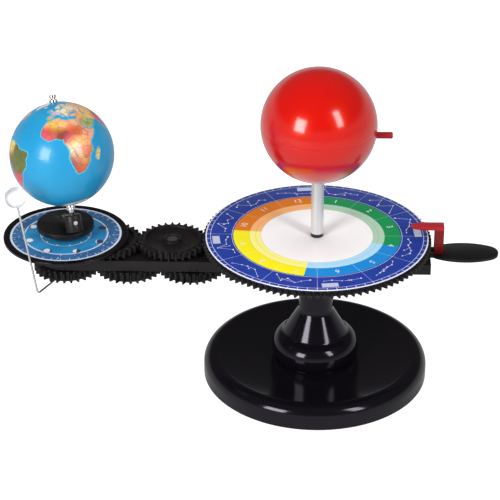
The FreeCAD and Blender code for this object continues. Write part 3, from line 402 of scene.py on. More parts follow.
def card_print():
    """Blue card with a darker band outside, pale rings and a scale at its edge."""
    paint = Paint("card_print", roughness=0.3, specular_ior_level=0.25)
    place = paint.place()
    moved = paint.node("Mapping", inputs={"Vector": place, "Location": (-earth_x / MM, 0, 0)})
    x, y = paint.axes(moved)[:2]
    far = (x * x + y * y) ** 0.5
    edge = (card_high.x - card_low.x) / 2 / MM
    cloud = paint.noise(moved, 0.07, 3)
    inner = paint.mix(cloud, colour(16, 104, 172), colour(60, 166, 216))
    outer = paint.mix(cloud, colour(30, 72, 126), colour(72, 128, 178))
    face = paint.mix(far < CARD_LINE, outer, inner)
    pale = colour(226, 234, 244)
    for line, half in ((edge - 0.9, 0.9), (CARD_LINE, 0.7), (CARD_INNER_LINE, 0.3)):
        face = paint.mix(paint.line(far, line, half) * 0.85, face, pale)
    scale = paint.ticks(around(paint, x, y), 10, 0.46) * paint.between(far, edge - 5, edge - 1.5)
    paint.shade("Base Color", paint.mix(scale * 0.7, face, pale))
    paint.shade("Roughness", cloud * 0.1 + 0.25)
    return paint.material


def flat_print(name, shade):
    """Printing ink, with a little of the press's unevenness."""
    paint = Paint(name, roughness=0.35)
    place = paint.place()
    paint.shade("Base Color", paint.mix(paint.noise(place, 1.5, 2) * 0.25, shade, colour(150, 160, 175)))
    return paint.material


def map_print():
    """The world's map: seas with paler shores, lands in mixed tints with lines between them."""
    paint = Paint("map_print", roughness=0.3, specular_ior_level=0.3, coat_weight=0.2, coat_roughness=0.08)
    place = paint.place()
    land = paint.node("Attribute", {"attribute_name": "land"}, output="Fac")
    ground = paint.node("Attribute", {"attribute_name": "ground"}, output="Color")
    ragged = land + (paint.noise(place, 0.55, 3) - 0.5) * 2.2
    relief = paint.noise(place, 0.3, 4)
    deep = paint.mix(paint.noise(place, 0.035, 3), colour(18, 134, 186), colour(44, 160, 208))
    sea = paint.mix(paint.between(ragged, -1.1, 0) * 0.55, deep, colour(120, 206, 232))
    countries = {"Vector": place, "Scale": 0.16, "Randomness": 0.9}
    cells = paint.node("TexVoronoi", inputs=countries, output="Color")
    country = paint.mix(0.28, ground, cells, "SOFT_LIGHT")
    shaded = paint.mix((relief - 0.4) * 0.8, country, colour(176, 120, 84), "MULTIPLY")
    border = paint.node("TexVoronoi", {"feature": "DISTANCE_TO_EDGE"}, countries)
    lands = paint.mix((border < 0.03) * 0.5, shaded, colour(130, 70, 60))
    face = paint.mix(ragged > 0, sea, lands)
    shore = paint.between(ragged, -0.28, 0.28)
    face = paint.mix(shore * 0.5, face, colour(60, 90, 110))
    paint.shade("Base Color", face)
    return paint.material


# Shapes
def lathe(corners, steps=128):
    """Spins a closed outline in the XZ plane, in millimetres, round the Z axis."""
    shape = bmesh.new()
    points = [shape.verts.new((x * MM, 0, z * MM)) for x, z in corners]
    for pair in zip(points, points[1:] + points[:1]):
        shape.edges.new(pair)
    bmesh.ops.spin(shape, geom=shape.verts[:] + shape.edges[:], cent=(0, 0, 0), axis=(0, 0, 1),
                   dvec=(0, 0, 0), angle=ROUND, steps=steps, use_merge=True)
    bmesh.ops.remove_doubles(shape, verts=shape.verts[:], dist=MM / 1000)
    bmesh.ops.recalc_face_normals(shape, faces=shape.faces[:])
    return shape


def arc(middle, radius, start, end, steps):
    """Points of an arc between two angles in degrees."""
    turns = [math.radians(start + (end - start) * i / steps) for i in range(steps + 1)]
    return [(middle[0] + radius * math.cos(t), middle[1] + radius * math.sin(t)) for t in turns]


def polar(radius, angle):
    return radius * math.cos(math.radians(angle)), radius * math.sin(math.radians(angle))


def sharp_edges(shape, angle):
    return [edge for edge in shape.edges
            if len(edge.link_faces) == 2 and edge.calc_face_angle(0) > math.radians(angle)]


def soften(shape, width, angle=35, steps=2):
    """Rounds the edges that are sharper than an angle."""
    bmesh.ops.bevel(shape, geom=sharp_edges(shape, angle), offset=width * MM, offset_type="OFFSET",
                    segments=steps, profile=0.5, affect="EDGES", clamp_overlap=True, material=-1)


def copied(node):
    """A CAD node's mesh with its triangles joined to faces."""
    shape = bmesh.new()
    shape.from_mesh(nodes[node].data)
    bmesh.ops.remove_doubles(shape, verts=shape.verts[:], dist=MM / 1000)
    bmesh.ops.dissolve_limit(shape, angle_limit=math.radians(0.5), verts=shape.verts[:], edges=shape.edges[:])
    return shape


def piece(name, shape, body, material, stands_for=(), angle=32):
    """Makes a mesh an object that rides on a body and stands for CAD nodes."""
    for face in shape.faces:
        face.smooth = True
    for edge in shape.edges:
        edge.smooth = len(edge.link_faces) == 2 and edge.calc_face_angle(0) < math.radians(angle)
    mesh = bpy.data.meshes.new(name)
    shape.to_mesh(mesh)
    shape.free()
    mesh.materials.append(material)
    made = bpy.data.objects.new(name, mesh)
    bpy.context.scene.collection.objects.link(made)
    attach(made, body)
    if stands_for:
        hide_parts(*stands_for)
    return made


def softened(node, body, material, width=0.3, angle=35):
    """A copy of a CAD node with its edges rounded."""
    shape = copied(node)
    soften(shape, width, angle)
    piece(f"{node}_finished", shape, body, material, [node])


# Base and column
def glossy_base():
    """The base's moulding: a round edge, a gently dished top and the seat of the column."""
    edge, foot, wall, floor = 10.5, 1.0, 3.0, 6.5
    radius = base_radius / MM
    low = base_low.z / MM
    wall_top = 11.5
    seat_radius, seat = 41.0, 18.0
    crest = radius - edge
    fall = math.degrees(math.atan2(wall_top - seat, crest - seat_radius))
    reach = math.hypot(crest - seat_radius, wall_top - seat)
    touch = fall + math.degrees(math.acos(edge / reach))
    side = [(radius - foot, low), (radius, low + foot)]
    corners = [(SPINDLE_BORE, seat), (SPINDLE_BORE, seat - wall), (radius - wall, seat - floor),
               (radius - wall, low)]
    corners += side + arc((crest, wall_top), edge, 0, 180 - touch, 24) + [(seat_radius, seat)]
    shape = lathe(corners, 160)
    piece("glossy_base", shape, "base", finishes["black_gloss"], ["base_shell"])


def glossy_column():
    """The bell: foot curve, round belly, conical flank and straight neck, with the bends between."""
    belly, belly_level = bell_high.x / MM, bell_low.z / MM + 10.5
    curve, waist, neck_curve, foot = 16.0, 8.0, 12.0, 21.7
    flank, steep = 31.0, 60.0
    neck, socket, step, step_height, round_off = 15.0, 20.0, 1.2, 1.0, 0.6
    top = bell_high.z / MM
    seat = bell_low.z / MM
    drop = math.degrees(math.asin((belly_level - seat - step_height) / foot))
    rounds = arc((belly - foot, belly_level), foot, -drop, 0, 10)
    rounds += arc((belly - curve, belly_level), curve, 0, steep, 18)[1:]
    across, along = polar(waist, steep)
    middle = (rounds[-1][0] + across, rounds[-1][1] + along)
    rounds += arc(middle, waist, 180 + steep, 180 + flank, 6)[1:]
    high_x = neck + neck_curve * (1 - math.cos(math.radians(flank)))
    high_z = rounds[-1][1] + (rounds[-1][0] - high_x) / math.tan(math.radians(flank))
    across, along = polar(neck_curve, flank)
    rounds += arc((high_x + across, high_z + along), neck_curve, 180 + flank, 180, 8)
    groove = rounds[0][0] - step
    corners = [(SPINDLE_BORE, top), (SPINDLE_BORE, top - socket), (groove - 5, seat), (groove, seat),
               (groove, seat + step_height)]
    corners += rounds + [(neck, top - round_off), (neck - round_off, top)]
    piece("glossy_column", lathe(corners, 128), "base", finishes["black_gloss"], ["pedestal_bell"])


# Sun
def half_shell(radius, wall, hole, sign, steps):
    """Corners of a hollow half ball with a hole at its pole."""
    end = sign * math.degrees(math.acos(hole / radius))
    inner = sign * math.degrees(math.acos(hole / (radius - wall)))
    return arc((0, 0), radius, 0, end, steps) + arc((0, 0), radius - wall, inner, 0, steps // 3)


def moved(shape, place, axis=Vector((0, 0, 1))):
    """Turns a shape's Z axis to an axis and takes it to a place."""
    turn = Vector((0, 0, 1)).rotation_difference(axis).to_matrix().to_4x4()
    bmesh.ops.transform(shape, matrix=Matrix.Translation(place) @ turn, verts=shape.verts[:])
    return shape


SUN_WALL = 2.5
POST_HOLE = 5.55


def sun():
    radius = sun_radius / MM
    seam = Vector((0, 0, sun_seam))
    for name, node, sign, hole in (("sun_top_half", "sun_upper_shell", 1, 0.0),
                                   ("sun_bottom_half", "sun_lower_shell", -1, POST_HOLE)):
        shape = lathe(half_shell(radius, SUN_WALL, hole, sign, 48), 144)
        soften(shape, 0.12, 60)
        piece(name, moved(shape, seam), "base", finishes["sun_red"], [node])


def post():
    low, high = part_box("sun_post")
    radius = high.x / MM
    corners = [(SPINDLE_BORE, low.z / MM), (radius, low.z / MM), (radius, high.z / MM),
               (SPINDLE_BORE, high.z / MM)]
    piece("polished_post", lathe(corners, 64), "base", finishes["post_metal"], ["sun_post"])


# Dial of the seasons and the card of the Moon's phases
def dial():
    low, high = dial_low.z / MM, dial_high.z / MM
    radius = dial_radius / MM
    corners = [(SPINDLE_BORE, low), (radius, low), (radius, high), (SPINDLE_BORE, high)]
    shape = lathe(corners, 192)
    soften(shape, 0.3, 60)
    piece("printed_dial", shape, "base", finishes["dial_print"], ["season_dial"])


# The ink's height over the print, and the widths of its lines
INK = 0.02
STAR_LINE = 0.28


def flat_dot(shape, x, y, level, radius, corners=10):
    """A small flat disc of ink."""
    at = Matrix.Translation((x * MM, y * MM, level))
    bmesh.ops.create_circle(shape, cap_ends=True, segments=corners, radius=radius * MM, matrix=at)


def flat_line(shape, start, end, level, width):
    """A flat strip of ink."""
    run = Vector(end) - Vector(start)
    middle = (Vector(start) + Vector(end)) / 2 * MM
    at = Matrix.Translation((*middle, level)) @ Matrix.Rotation(math.atan2(run.y, run.x), 4, "Z")
    size = Matrix.Diagonal((run.length / 2 * MM, width / 2 * MM, 1, 1))
    bmesh.ops.create_grid(shape, x_segments=1, y_segments=1, size=1, matrix=at @ size)


LABEL_ANGLES = (4, 97, 187, 277)
LABEL_PLACE, LABEL_HALF, LABEL_WIDE = 88.3, 7, 6.4
STARS_IN, STARS_WIDE, STARS_BY_LABEL, LABEL_CLEAR = 77.0, 13.5, 6.5, 9


def star_place(share, angle):
    """A place on the blue ring that keeps clear of the pale fields."""
    near = min(abs((angle - label + 180) % 360 - 180) for label in LABEL_ANGLES)
    return polar(STARS_IN + share * (STARS_BY_LABEL if near < LABEL_CLEAR else STARS_WIDE), angle)


def star_signs():
    """Twelve small groups of stars joined by lines, one in each twelfth of the blue ring."""
    chance = random.Random(12)
    level = dial_top + INK * MM
    shape = bmesh.new()
    for sign in range(12):
        count = chance.choice((5, 6, 7))
        start = sign * 30 + 4.5
        spots = [star_place(chance.random(), start + 21 * (i + chance.uniform(-0.25, 0.25)) / (count - 1))
                 for i in range(count)]
        for one, other in zip(spots, spots[1:]):
            flat_line(shape, one, other, level, STAR_LINE)
        branch = star_place(chance.random(), start + chance.uniform(4, 17))
        flat_line(shape, spots[count // 2], branch, level, STAR_LINE)
        for spot in [*spots, branch]:
            flat_dot(shape, *spot, level + INK * MM, chance.uniform(0.55, 0.95))
    piece("star_signs", shape, "base", finishes["white_ink"])


def blank_labels():
    """Four pale fields on the blue ring, left empty, where the photo has words."""
    shape = bmesh.new()
    for angle in LABEL_ANGLES:
        x, y = polar(LABEL_PLACE, angle)
        across, along = polar(LABEL_HALF, angle + 90)
        ends = (x - across, y - along), (x + across, y + along)
        flat_line(shape, *ends, dial_top + 2 * INK * MM, LABEL_WIDE)
    piece("blank_labels", shape, "base", finishes["pale_ink"])


NUMBER_SIZE = 8 * MM


def month_numbers():
    """Numbers 1 to 12 on the ring of the seasons, their feet towards the middle."""
    shape = bmesh.new()
    for month in range(12):
        words = bpy.data.curves.new("number", "FONT")
        words.body = str(month + 1)
        words.size = NUMBER_SIZE
        words.align_x = "CENTER"
        words.align_y = "CENTER"
        holder = bpy.data.objects.new("number", words)
        bpy.context.scene.collection.objects.link(holder)
        flat = bpy.data.meshes.new_from_object(holder)
        bpy.data.objects.remove(holder)
        angle = 90 - 30 * month - 15
        x, y = polar((DIAL_SEASON_OUT + DIAL_TINT_OUT) / 2, angle)
        flat.transform(Matrix.Translation((x * MM, y * MM, dial_top + INK * MM))
                       @ Matrix.Rotation(math.radians(angle - 90), 4, "Z"))
        shape.from_mesh(flat)
        bpy.data.meshes.remove(flat)
    piece("month_numbers", shape, "base", finishes["white_ink"])


FACE_RADIUS, FACES_PLACE, FACES_TURN = 3.4, 33.0, 22
DOTS_PLACE = 21.0


def phase_faces():
    """Eight small Moons on the card, dark discs with their lit parts, and a few stars."""
    lit, dark = bmesh.new(), bmesh.new()
    level = card_high.z + INK * MM
    middle = earth_x / MM
    size = FACE_RADIUS
    for phase in range(8):
        x, y = polar(FACES_PLACE, phase * 45 + FACES_TURN)
        flat_dot(dark, middle + x, y, level, size + 0.3, 24)
        if phase == 0:
            continue
        at = Matrix.Translation(((middle + x) * MM, y * MM, level + INK * MM))
        half = bmesh.ops.create_circle(lit, cap_ends=True, segments=32, radius=size * MM, matrix=at)["verts"]
        faces = set(face for corner in half for face in corner.link_faces)
        if phase != 4:
            side = Vector((1 if phase > 4 else -1, 0, 0))
            edges = set(edge for corner in half for edge in corner.link_edges)
            bmesh.ops.bisect_plane(lit, geom=[*half, *edges, *faces], dist=0, plane_co=at.translation,
                                   plane_no=side, clear_outer=True)
            bulge = abs(math.cos(math.radians(phase * 45)))
            if bulge > 0.1:
                cover = lit if 2 < phase < 6 else dark
                oval = Matrix.Translation((0, 0, INK * MM)) @ at @ Matrix.Diagonal((bulge, 1, 1, 1))
                bmesh.ops.create_circle(cover, cap_ends=True, segments=32, radius=size * MM, matrix=oval)
    for angle in range(15, 360, 30):
        x, y = polar(DOTS_PLACE, angle)
        flat_dot(lit, middle + x, y, level, 0.9, 12)
    chance = random.Random(5)
    for _ in range(46):
        x, y = polar(chance.uniform(38.5, 45.5), chance.uniform(0, 360))
        flat_dot(lit, middle + x, y, level, chance.uniform(0.3, 0.7), 6)
    for shape in (lit, dark):
        bmesh.ops.triangulate(shape, faces=shape.faces[:])
    piece("phase_faces_lit", lit, "phase", finishes["white_ink"])
    piece("phase_faces_dark", dark, "phase", finishes["navy_ink"])


def phase_disc():
    radius = (disc_high.x - disc_low.x) / 2 / MM
    low, high = disc_low.z / MM, disc_high.z / MM
    recess = (card_high.x - card_low.x) / 2 / MM + 0.1
    floor = card_low.z / MM
    corners = [(AXLE_BORE, low), (radius, low), (radius, high), (recess, high), (recess, floor),
               (AXLE_BORE, floor)]
    shape = lathe(corners, 160)
    soften(shape, 0.5, 60, 3)
    place = Vector((earth_x, 0, 0))
    piece("turning_disc", moved(shape, place), "phase", finishes["black_gloss"], ["phase_disc"])
    card = recess - 0.1
    top = card_high.z / MM
    corners = [(3.55, floor), (card, floor), (card, top), (3.55, top)]
    piece("printed_card", moved(lathe(corners, 160), place), "phase", finishes["card_print"],
          ["phase_card"])


# The world's map, as the longitudes and latitudes of its coasts
AFRICA = [
    (-17, 15), (-16, 21), (-13, 27.5), (-9.8, 31), (-6, 35.8), (-2, 35.2), (3, 36.8), (10, 37.3), (11, 34),
    (15, 32.3), (20, 31), (23, 32.7), (29, 31), (32.5, 31.3), (34, 27.5), (37, 21), (39.5, 15.5),
    (43.3, 11.7), (51.2, 11.9), (48, 5), (42, -1.5), (39.2, -6), (40.6, -13), (35, -20), (35.5, -24),
    (32.8, -27), (30, -31.5), (26, -34), (20, -34.8), (18.3, -33.5), (15.2, -27), (12, -18), (13.6, -12),
    (12.2, -6), (9, -1), (9.6, 4), (5.5, 4.3), (1.5, 6.2), (-4, 5.2), (-8, 4.4), (-13, 8.3), (-16.7, 12.4),
]
EURASIA = [
    (-9.3, 37.2), (-9.2, 43), (-1.5, 43.5), (-1.2, 46), (-4.6, 48.4), (1.5, 50.2), (4.5, 52.5), (8.2, 54),
    (8.2, 57), (10.6, 57.6), (11, 54.3), (14, 54), (19, 54.5), (21, 57), (24, 59), (29, 60), (23, 60),
    (21.5, 63), (25, 65.3), (21.5, 65.5), (17.5, 61.5), (18, 59), (14.5, 55.7), (11.5, 58.5), (7, 58.2),
    (5.2, 61), (11, 64.5), (16, 68.5), (25, 71), (31, 70), (41, 67), (35, 66.4), (38, 64.3), (44, 66.5),
    (45, 68.3), (54, 68.5), (68, 68.5), (68, 72.5), (74, 72.8), (81, 73.5), (87, 75.2), (98, 76),
    (104, 77.6), (113, 73.8), (127, 72.8), (131, 71), (140, 72.5), (152, 71), (161, 69.5), (170, 69.8),
    (180, 68.5), (190, 66.2), (180, 64.8), (177.5, 62.5), (170, 60), (163, 58.3), (162, 56), (158, 52),
    (156, 51.3), (155.8, 56.5), (162.5, 61.5), (156, 61.5), (150, 59.5), (142.5, 59.2), (135.5, 54.7),
    (141, 53), (140, 48.5), (135, 43.3), (130.7, 42.3), (127.5, 39.8), (129.4, 37), (129, 35.2),
    (126.4, 34.4), (126.8, 37.2), (125, 39.6), (121.5, 39), (121.8, 40.8), (118, 39), (119, 37.3),
    (122.5, 37.2), (119.3, 35), (121.8, 31.5), (121.5, 28.5), (118.5, 24.6), (114, 22.4), (110, 21.2),
    (108, 21.6), (105.8, 19), (109, 12.5), (105, 8.7), (102.5, 12), (100.2, 13.5), (99.3, 9.5),
    (103.4, 4.2), (103.5, 1.4), (100.4, 6), (98.3, 9), (97.6, 16.5), (94.3, 16), (92, 21.5), (88.5, 21.7),
    (86.8, 20.5), (82.3, 16.6), (80.2, 15), (79.9, 10.3), (77.5, 8.1), (74.8, 13), (72.8, 19.5),
    (72.6, 21.5), (70, 22.3), (67, 24.8), (61.5, 25.2), (57, 26.8), (51.5, 27.8), (48.5, 30), (48, 29.5),
    (50.2, 26.5), (51.5, 25), (54, 24.2), (56.4, 26.2), (59.8, 22.5), (55, 17.5), (52, 15.6), (45, 12.8),
    (43.3, 13), (42.7, 16.5), (39, 21), (35, 28), (32.6, 29.9), (32.3, 31.2), (34.2, 31.3), (35.9, 35.5),
    (36, 36.8), (30.5, 36.6), (27.3, 37), (26.3, 39.5), (29, 41.1), (35, 42), (41.5, 41.5), (38, 44.5),
    (39, 47), (35, 45.5), (33.5, 44.5), (32.5, 46.2), (30.5, 46.2), (28.6, 44), (28, 41.7), (26, 40.7),
    (23.5, 40.3), (23, 38.3), (22.8, 36.5), (21.5, 37.3), (19.5, 40.5), (19.3, 42), (15.5, 44),
    (13.7, 45.5), (12.4, 44.5), (14, 42.5), (18.4, 40.2), (16.6, 38), (15.8, 38.2), (14, 40.8), (11, 42.5),
    (8.8, 44.4), (5, 43.3), (3, 42.3), (-0.3, 39.3), (-2, 36.8), (-5.6, 36.1),
]
NORTH_AMERICA = [
    (-168, 65.6), (-161, 66.5), (-166, 68.5), (-156.5, 71.3), (-141, 69.7), (-128, 70.3), (-115, 68.2),
    (-108, 68), (-96, 68), (-94, 72), (-85, 69.8), (-81.5, 67.5), (-87, 64.5), (-94, 61), (-94, 58.8),
    (-87.5, 56.2), (-82.3, 55), (-79, 51.5), (-79.5, 54.8), (-77, 57.5), (-78, 62.3), (-70, 61), (-65, 59),
    (-60, 54.5), (-56, 52), (-60, 50.2), (-66.5, 50), (-65, 48.3), (-64.5, 46.3), (-60.5, 46.5),
    (-66, 43.7), (-70.5, 43), (-70, 41.7), (-74, 40.5), (-75.6, 35.5), (-81, 31.5), (-80.2, 25.5),
    (-82.7, 28.5), (-84.3, 30), (-89.5, 30), (-94.5, 29.4), (-97.4, 27), (-97.6, 22), (-95, 18.6),
    (-91.5, 18.6), (-90, 21.2), (-87, 21.4), (-88.3, 16.5), (-83.4, 15), (-83.6, 11), (-80, 9.2),
    (-77.3, 8.5), (-79, 7.5), (-83, 8.3), (-87.5, 12.8), (-94, 16.1), (-101.5, 17.5), (-105.5, 20.3),
    (-109.5, 25.8), (-113, 31.2), (-114.7, 31.7), (-109.5, 23.2), (-112.2, 25.8), (-115, 30), (-117.3, 33),
    (-120.6, 34.6), (-124, 39.5), (-124.3, 43), (-124, 46.2), (-124.6, 48.3), (-122.5, 48.8), (-128, 51.3),
    (-131, 55.3), (-137, 58.5), (-145, 60.3), (-151.5, 60.8), (-152, 59), (-158, 56.3), (-164.5, 54.7),
    (-157.5, 58.8), (-162, 59), (-165.5, 61.5), (-161, 64.4),
]
SOUTH_AMERICA = [
    (-77.3, 8.5), (-72, 12), (-62, 10.6), (-60, 8.3), (-52, 4.7), (-50, 0.5), (-44, -2.6), (-37, -4.7),
    (-34.9, -8), (-39, -13.5), (-39.2, -18), (-41, -22), (-48, -26), (-53.3, -33.5), (-57, -36.5),
    (-62, -39), (-65, -42), (-66, -46), (-69, -51.5), (-68, -55), (-74.5, -51), (-75, -46.5), (-73, -41.5),
    (-73.3, -37), (-71.5, -32), (-70.3, -24), (-70.4, -18.3), (-76.2, -13.9), (-79.8, -7.2), (-81.3, -4.7),
    (-80, 0.5), (-77.3, 4), (-77.5, 7),
]
AUSTRALIA = [
    (114, -22), (121.8, -18.3), (126, -14), (130, -11.8), (136.8, -12.2), (135.6, -15), (140.8, -17.5),
    (142.4, -10.8), (145.5, -15), (149, -20.5), (153.2, -25.5), (153, -30.5), (150, -37.3), (146.3, -39),
    (143.5, -38.7), (140, -37.5), (138, -34.7), (135.5, -34.8), (131, -31.6), (124, -33.2), (118, -35),
    (115.1, -34), (115.6, -31), (113.5, -26),
]
ANTARCTICA = [
    (-180, -78), (-150, -77), (-120, -74), (-100, -72.5), (-75, -72), (-62, -64.5), (-60, -68), (-62, -75),
    (-40, -78), (-25, -75), (-10, -71), (20, -69.5), (50, -66.5), (80, -68), (110, -66), (140, -66.7),
    (160, -70), (168, -77.5), (180, -78), (180, -90), (-180, -90),
]
GREENLAND = [
    (-73, 78.3), (-60, 82), (-32, 83.5), (-12, 81.5), (-19, 75), (-22, 70.5), (-32, 68), (-40, 65),
    (-43.5, 60), (-51, 64), (-54, 69.5), (-59, 75.7),
]
ISLANDS = [
    [(49.3, -12), (50.4, -16), (47.2, -25), (44, -24), (43.5, -21), (44.5, -16.5)],
    [(-5.5, 50.1), (1.3, 51.2), (1.6, 52.7), (-0.2, 54), (-2, 55.8), (-2, 57.6), (-5, 58.6), (-6, 56.5),
     (-3, 54.8)],
    [(-10, 52), (-6.3, 52.3), (-6, 54.5), (-8, 55.2), (-10, 54)],
    [(-24, 65.5), (-22, 66.3), (-16, 66.4), (-13.7, 65), (-18.5, 63.5), (-22.5, 63.9)],
    [(52, 71), (57, 70.7), (58, 73), (68, 76.5), (60, 76), (55, 74)],
    [(130, 31.3), (131.8, 33.5), (135.8, 33.6), (140.8, 35.5), (142, 39.5), (145.3, 43.3), (141.8, 45.3),
     (140, 42), (140, 39.5), (137, 37), (133, 35.5), (130, 33)],
    [(95.3, 5.5), (100, 2.5), (104, -2), (105.8, -5.8), (102, -4), (98.7, 1.7)],
    [(105.3, -6.7), (110.8, -6.5), (114.4, -7.7), (114.4, -8.7), (108, -7.8)],
    [(109, 1.8), (111.5, 2.5), (116.8, 7), (119, 5), (117.6, 1), (116, -4), (111.5, -3.4), (109.2, -0.5)],
    [(119.5, -5.5), (119.8, 0.8), (125, 1.5), (121, -1), (123, -4.5)],
    [(131, -0.8), (135, -3.3), (141, -2.6), (147.5, -6), (150.5, -10.3), (144, -7.8), (141, -9), (138, -8.3)],
    [(120.5, 18.3), (122.2, 17), (124.2, 12.5), (126.4, 7.5), (125.4, 5.8), (122, 7), (121, 13.5)],
    [(80, 9.7), (81.8, 7.2), (80.2, 6)],
    [(144.7, -40.7), (148.3, -41), (147, -43.6)],
    [(172.7, -34.5), (178.4, -37.8), (175.2, -41.5), (171.5, -44), (167, -46.3), (171.8, -41),
     (174.5, -38.5)],
    [(-90, 73.5), (-80, 73.7), (-68, 68.5), (-62, 66.5), (-66, 62.5), (-73, 64.5), (-73, 67.8), (-86, 70.5)],
    [(-90, 77), (-78, 76.5), (-62, 82.5), (-90, 81.5)],
    [(-118, 69), (-105, 69), (-105, 73), (-120, 73.5)],
    [(-85, 21.9), (-80, 23.1), (-74.2, 20.2), (-77.5, 19.9), (-82, 22.3)],
    [(-74.4, 18.4), (-72, 19.9), (-68.5, 18.5)],
]
CASPIAN = [
    (50, 45), (53, 45.5), (51, 42), (53.5, 41), (54, 37), (49.5, 37.5), (49.5, 41), (47.5, 43),
]
LANDS = [AFRICA, EURASIA, NORTH_AMERICA, SOUTH_AMERICA, AUSTRALIA, ANTARCTICA, GREENLAND, *ISLANDS]

ROSE, SAND, PEACH = (216, 84, 98), (240, 196, 112), (236, 164, 122)
RUST, BROWN, LEMON = (196, 92, 48), (132, 72, 44), (244, 224, 122)
OLIVE, GREEN, LILAC = (96, 112, 56), (128, 176, 96), (190, 180, 206)
PALE, WHITE = (226, 218, 196), (240, 242, 244)
TINTS = [
    (-12, 15, ROSE), (-8, 8, ROSE), (-3, 30, SAND), (-2, 19, RUST), (7, 12, BROWN), (7, 26, SAND),
    (18, 27, PEACH), (25, 15, RUST), (30, 27, PEACH), (42, 9, PEACH), (17, 5, ROSE), (22, -3, LEMON),
    (36, -3, PEACH), (17, -12, PALE), (28, -14, PEACH), (16, -23, BROWN), (24, -21, PEACH), (24, -31, RUST),
    (36, -17, RUST), (47, -19, LEMON), (3, 46, LILAC), (18, 50, PALE), (-5, 40, GREEN), (14, 63, PALE),
    (40, 56, PALE), (46, 24, GREEN), (55, 33, SAND), (34, 39, PEACH), (66, 48, SAND), (66, 65, PEACH),
    (95, 60, PEACH), (125, 65, PALE), (105, 46, GREEN), (104, 34, LEMON), (88, 34, BROWN), (79, 22, ROSE),
    (101, 17, GREEN), (138, 37, ROSE), (115, 0, GREEN), (141, -6, SAND), (122, -26, SAND),
    (134, -22, PEACH), (146, -28, RUST), (172, -42, GREEN), (-152, 65, GREEN), (-110, 62, PEACH),
    (-80, 56, PEACH), (-98, 39, LEMON), (-103, 24, GREEN), (-86, 14, ROSE), (-72, 5, SAND),
    (-52, -8, OLIVE), (-60, -18, OLIVE), (-73, -12, BROWN), (-65, -36, ROSE), (-71, -48, SAND),
    (-40, 74, WHITE), (0, -85, WHITE), (120, -75, WHITE), (-90, -78, WHITE),
]


def inside(outline, longitude, latitude):
    """Which places lie inside an outline."""
    within = np.zeros(len(longitude), bool)
    for (x0, y0), (x1, y1) in zip(outline, outline[1:] + outline[:1]):
        if y0 != y1:
            crossing = x0 + (latitude - y0) * (x1 - x0) / (y1 - y0)
            within ^= ((y0 > latitude) != (y1 > latitude)) & (longitude < crossing)
    return within


def from_coast(outline, longitude, latitude):
    """Degrees from each place to an outline."""
    nearest = np.full(len(longitude), 180.0)
    squeeze = np.cos(np.radians(latitude))
    for (x0, y0), (x1, y1) in zip(outline, outline[1:] + outline[:1]):
        if abs(x0) == 180 and abs(x1) == 180:
            continue
        start_x = ((x0 - longitude + 180) % 360 - 180) * squeeze
        run_x, run_y = (x1 - x0) * squeeze, y1 - y0
        start_y = y0 - latitude
        share = -(start_x * run_x + start_y * run_y) / (run_x ** 2 + run_y ** 2 + 1e-9)
        share = np.clip(share, 0, 1)
        nearest = np.minimum(nearest, np.hypot(start_x + share * run_x, start_y + share * run_y))
    return nearest


def land_height(longitude, latitude):
    """Degrees inland, or less than nothing at sea."""
    land = np.zeros(len(longitude), bool)
    coast = np.full(len(longitude), 180.0)
    for outline in LANDS:
        land |= inside(outline, longitude, latitude) | inside(outline, longitude + 360, latitude)
        coast = np.minimum(coast, from_coast(outline, longitude, latitude))
    lake = inside(CASPIAN, longitude, latitude)
    coast = np.minimum(coast, from_coast(CASPIAN, longitude, latitude))
    return np.where(land & ~lake, coast, -coast)


def land_tints(longitude, latitude):
    """The tint of the nearest of the marked places, with a short change to the next."""
    across = np.radians(longitude)
    up = np.radians(latitude)
    spots = np.stack([np.cos(up) * np.cos(across), np.cos(up) * np.sin(across), np.sin(up)], 1)
    total = np.zeros((len(longitude), 4))
    weights = np.zeros((len(longitude), 1))
    for x, y, tint in TINTS:
        x, y = math.radians(x), math.radians(y)
        seed = np.array([math.cos(y) * math.cos(x), math.cos(y) * math.sin(x), math.sin(y)])
        weight = np.exp(60 * (spots @ seed - 1))[:, None] ** 2
        total += weight * np.array(colour(*tint))
        weights += weight
    return total / np.maximum(weights, 1e-30)


# The map's turn about the rod in degrees
MERIDIAN_TURN = -85.5
# Degrees by which the print lies further north at the equator, as it does in the photo
PRINT_SHIFT = 16.0


def mark_map(made):
    """Writes the map's values at each corner of a half globe, in the globe's own directions."""
    count = len(made.data.vertices)
    places = np.empty(count * 3, np.float32)
    made.data.vertices.foreach_get("co", places)
    turn = globe_turn().to_3x3().inverted()
    own = (places.reshape(-1, 3) - np.array(globe_middle)) @ np.array(turn).T
    above = np.clip(own[:, 2] / np.linalg.norm(own, axis=1), -1, 1)
    latitude = np.degrees(np.arcsin(above)) - PRINT_SHIFT * (1 - above ** 2)
    longitude = np.degrees(np.arctan2(own[:, 1], own[:, 0]))
    field = made.data.attributes.new("land", "FLOAT", "POINT")
    field.data.foreach_set("value", land_height(longitude, latitude).astype(np.float32))
    field = made.data.attributes.new("ground", "FLOAT_COLOR", "POINT")
    field.data.foreach_set("color", land_tints(longitude, latitude).astype(np.float32).ravel())


def globe_turn():
    """Turns upright directions to the globe's, with its map the right way round."""
    lean = Vector((0, 0, 1)).rotation_difference(globe_axis).to_matrix().to_4x4()
    return lean @ Matrix.Rotation(math.radians(MERIDIAN_TURN), 4, "Z")


# The globe, its rod and the pieces on the rod, in millimetres along the rod from the globe's middle
GLOBE_RADIUS, GLOBE_WALL = 45.0, 2.2
BUSH_RADIUS, BUSH_LOW, BUSH_HIGH, BUSH_PLAY = 3.7, 44.85, 46.8, 0.05
ROD_RADIUS, ROD_FOOT, ROD_TOP = 2.2, 66.0, 51.0
COLLAR_GAP, COLLAR_WIDE, COLLAR_THICK = 0.3, 1.4, 1.8
CAP_HALF, CAP_WALL = 1.3, 0.8


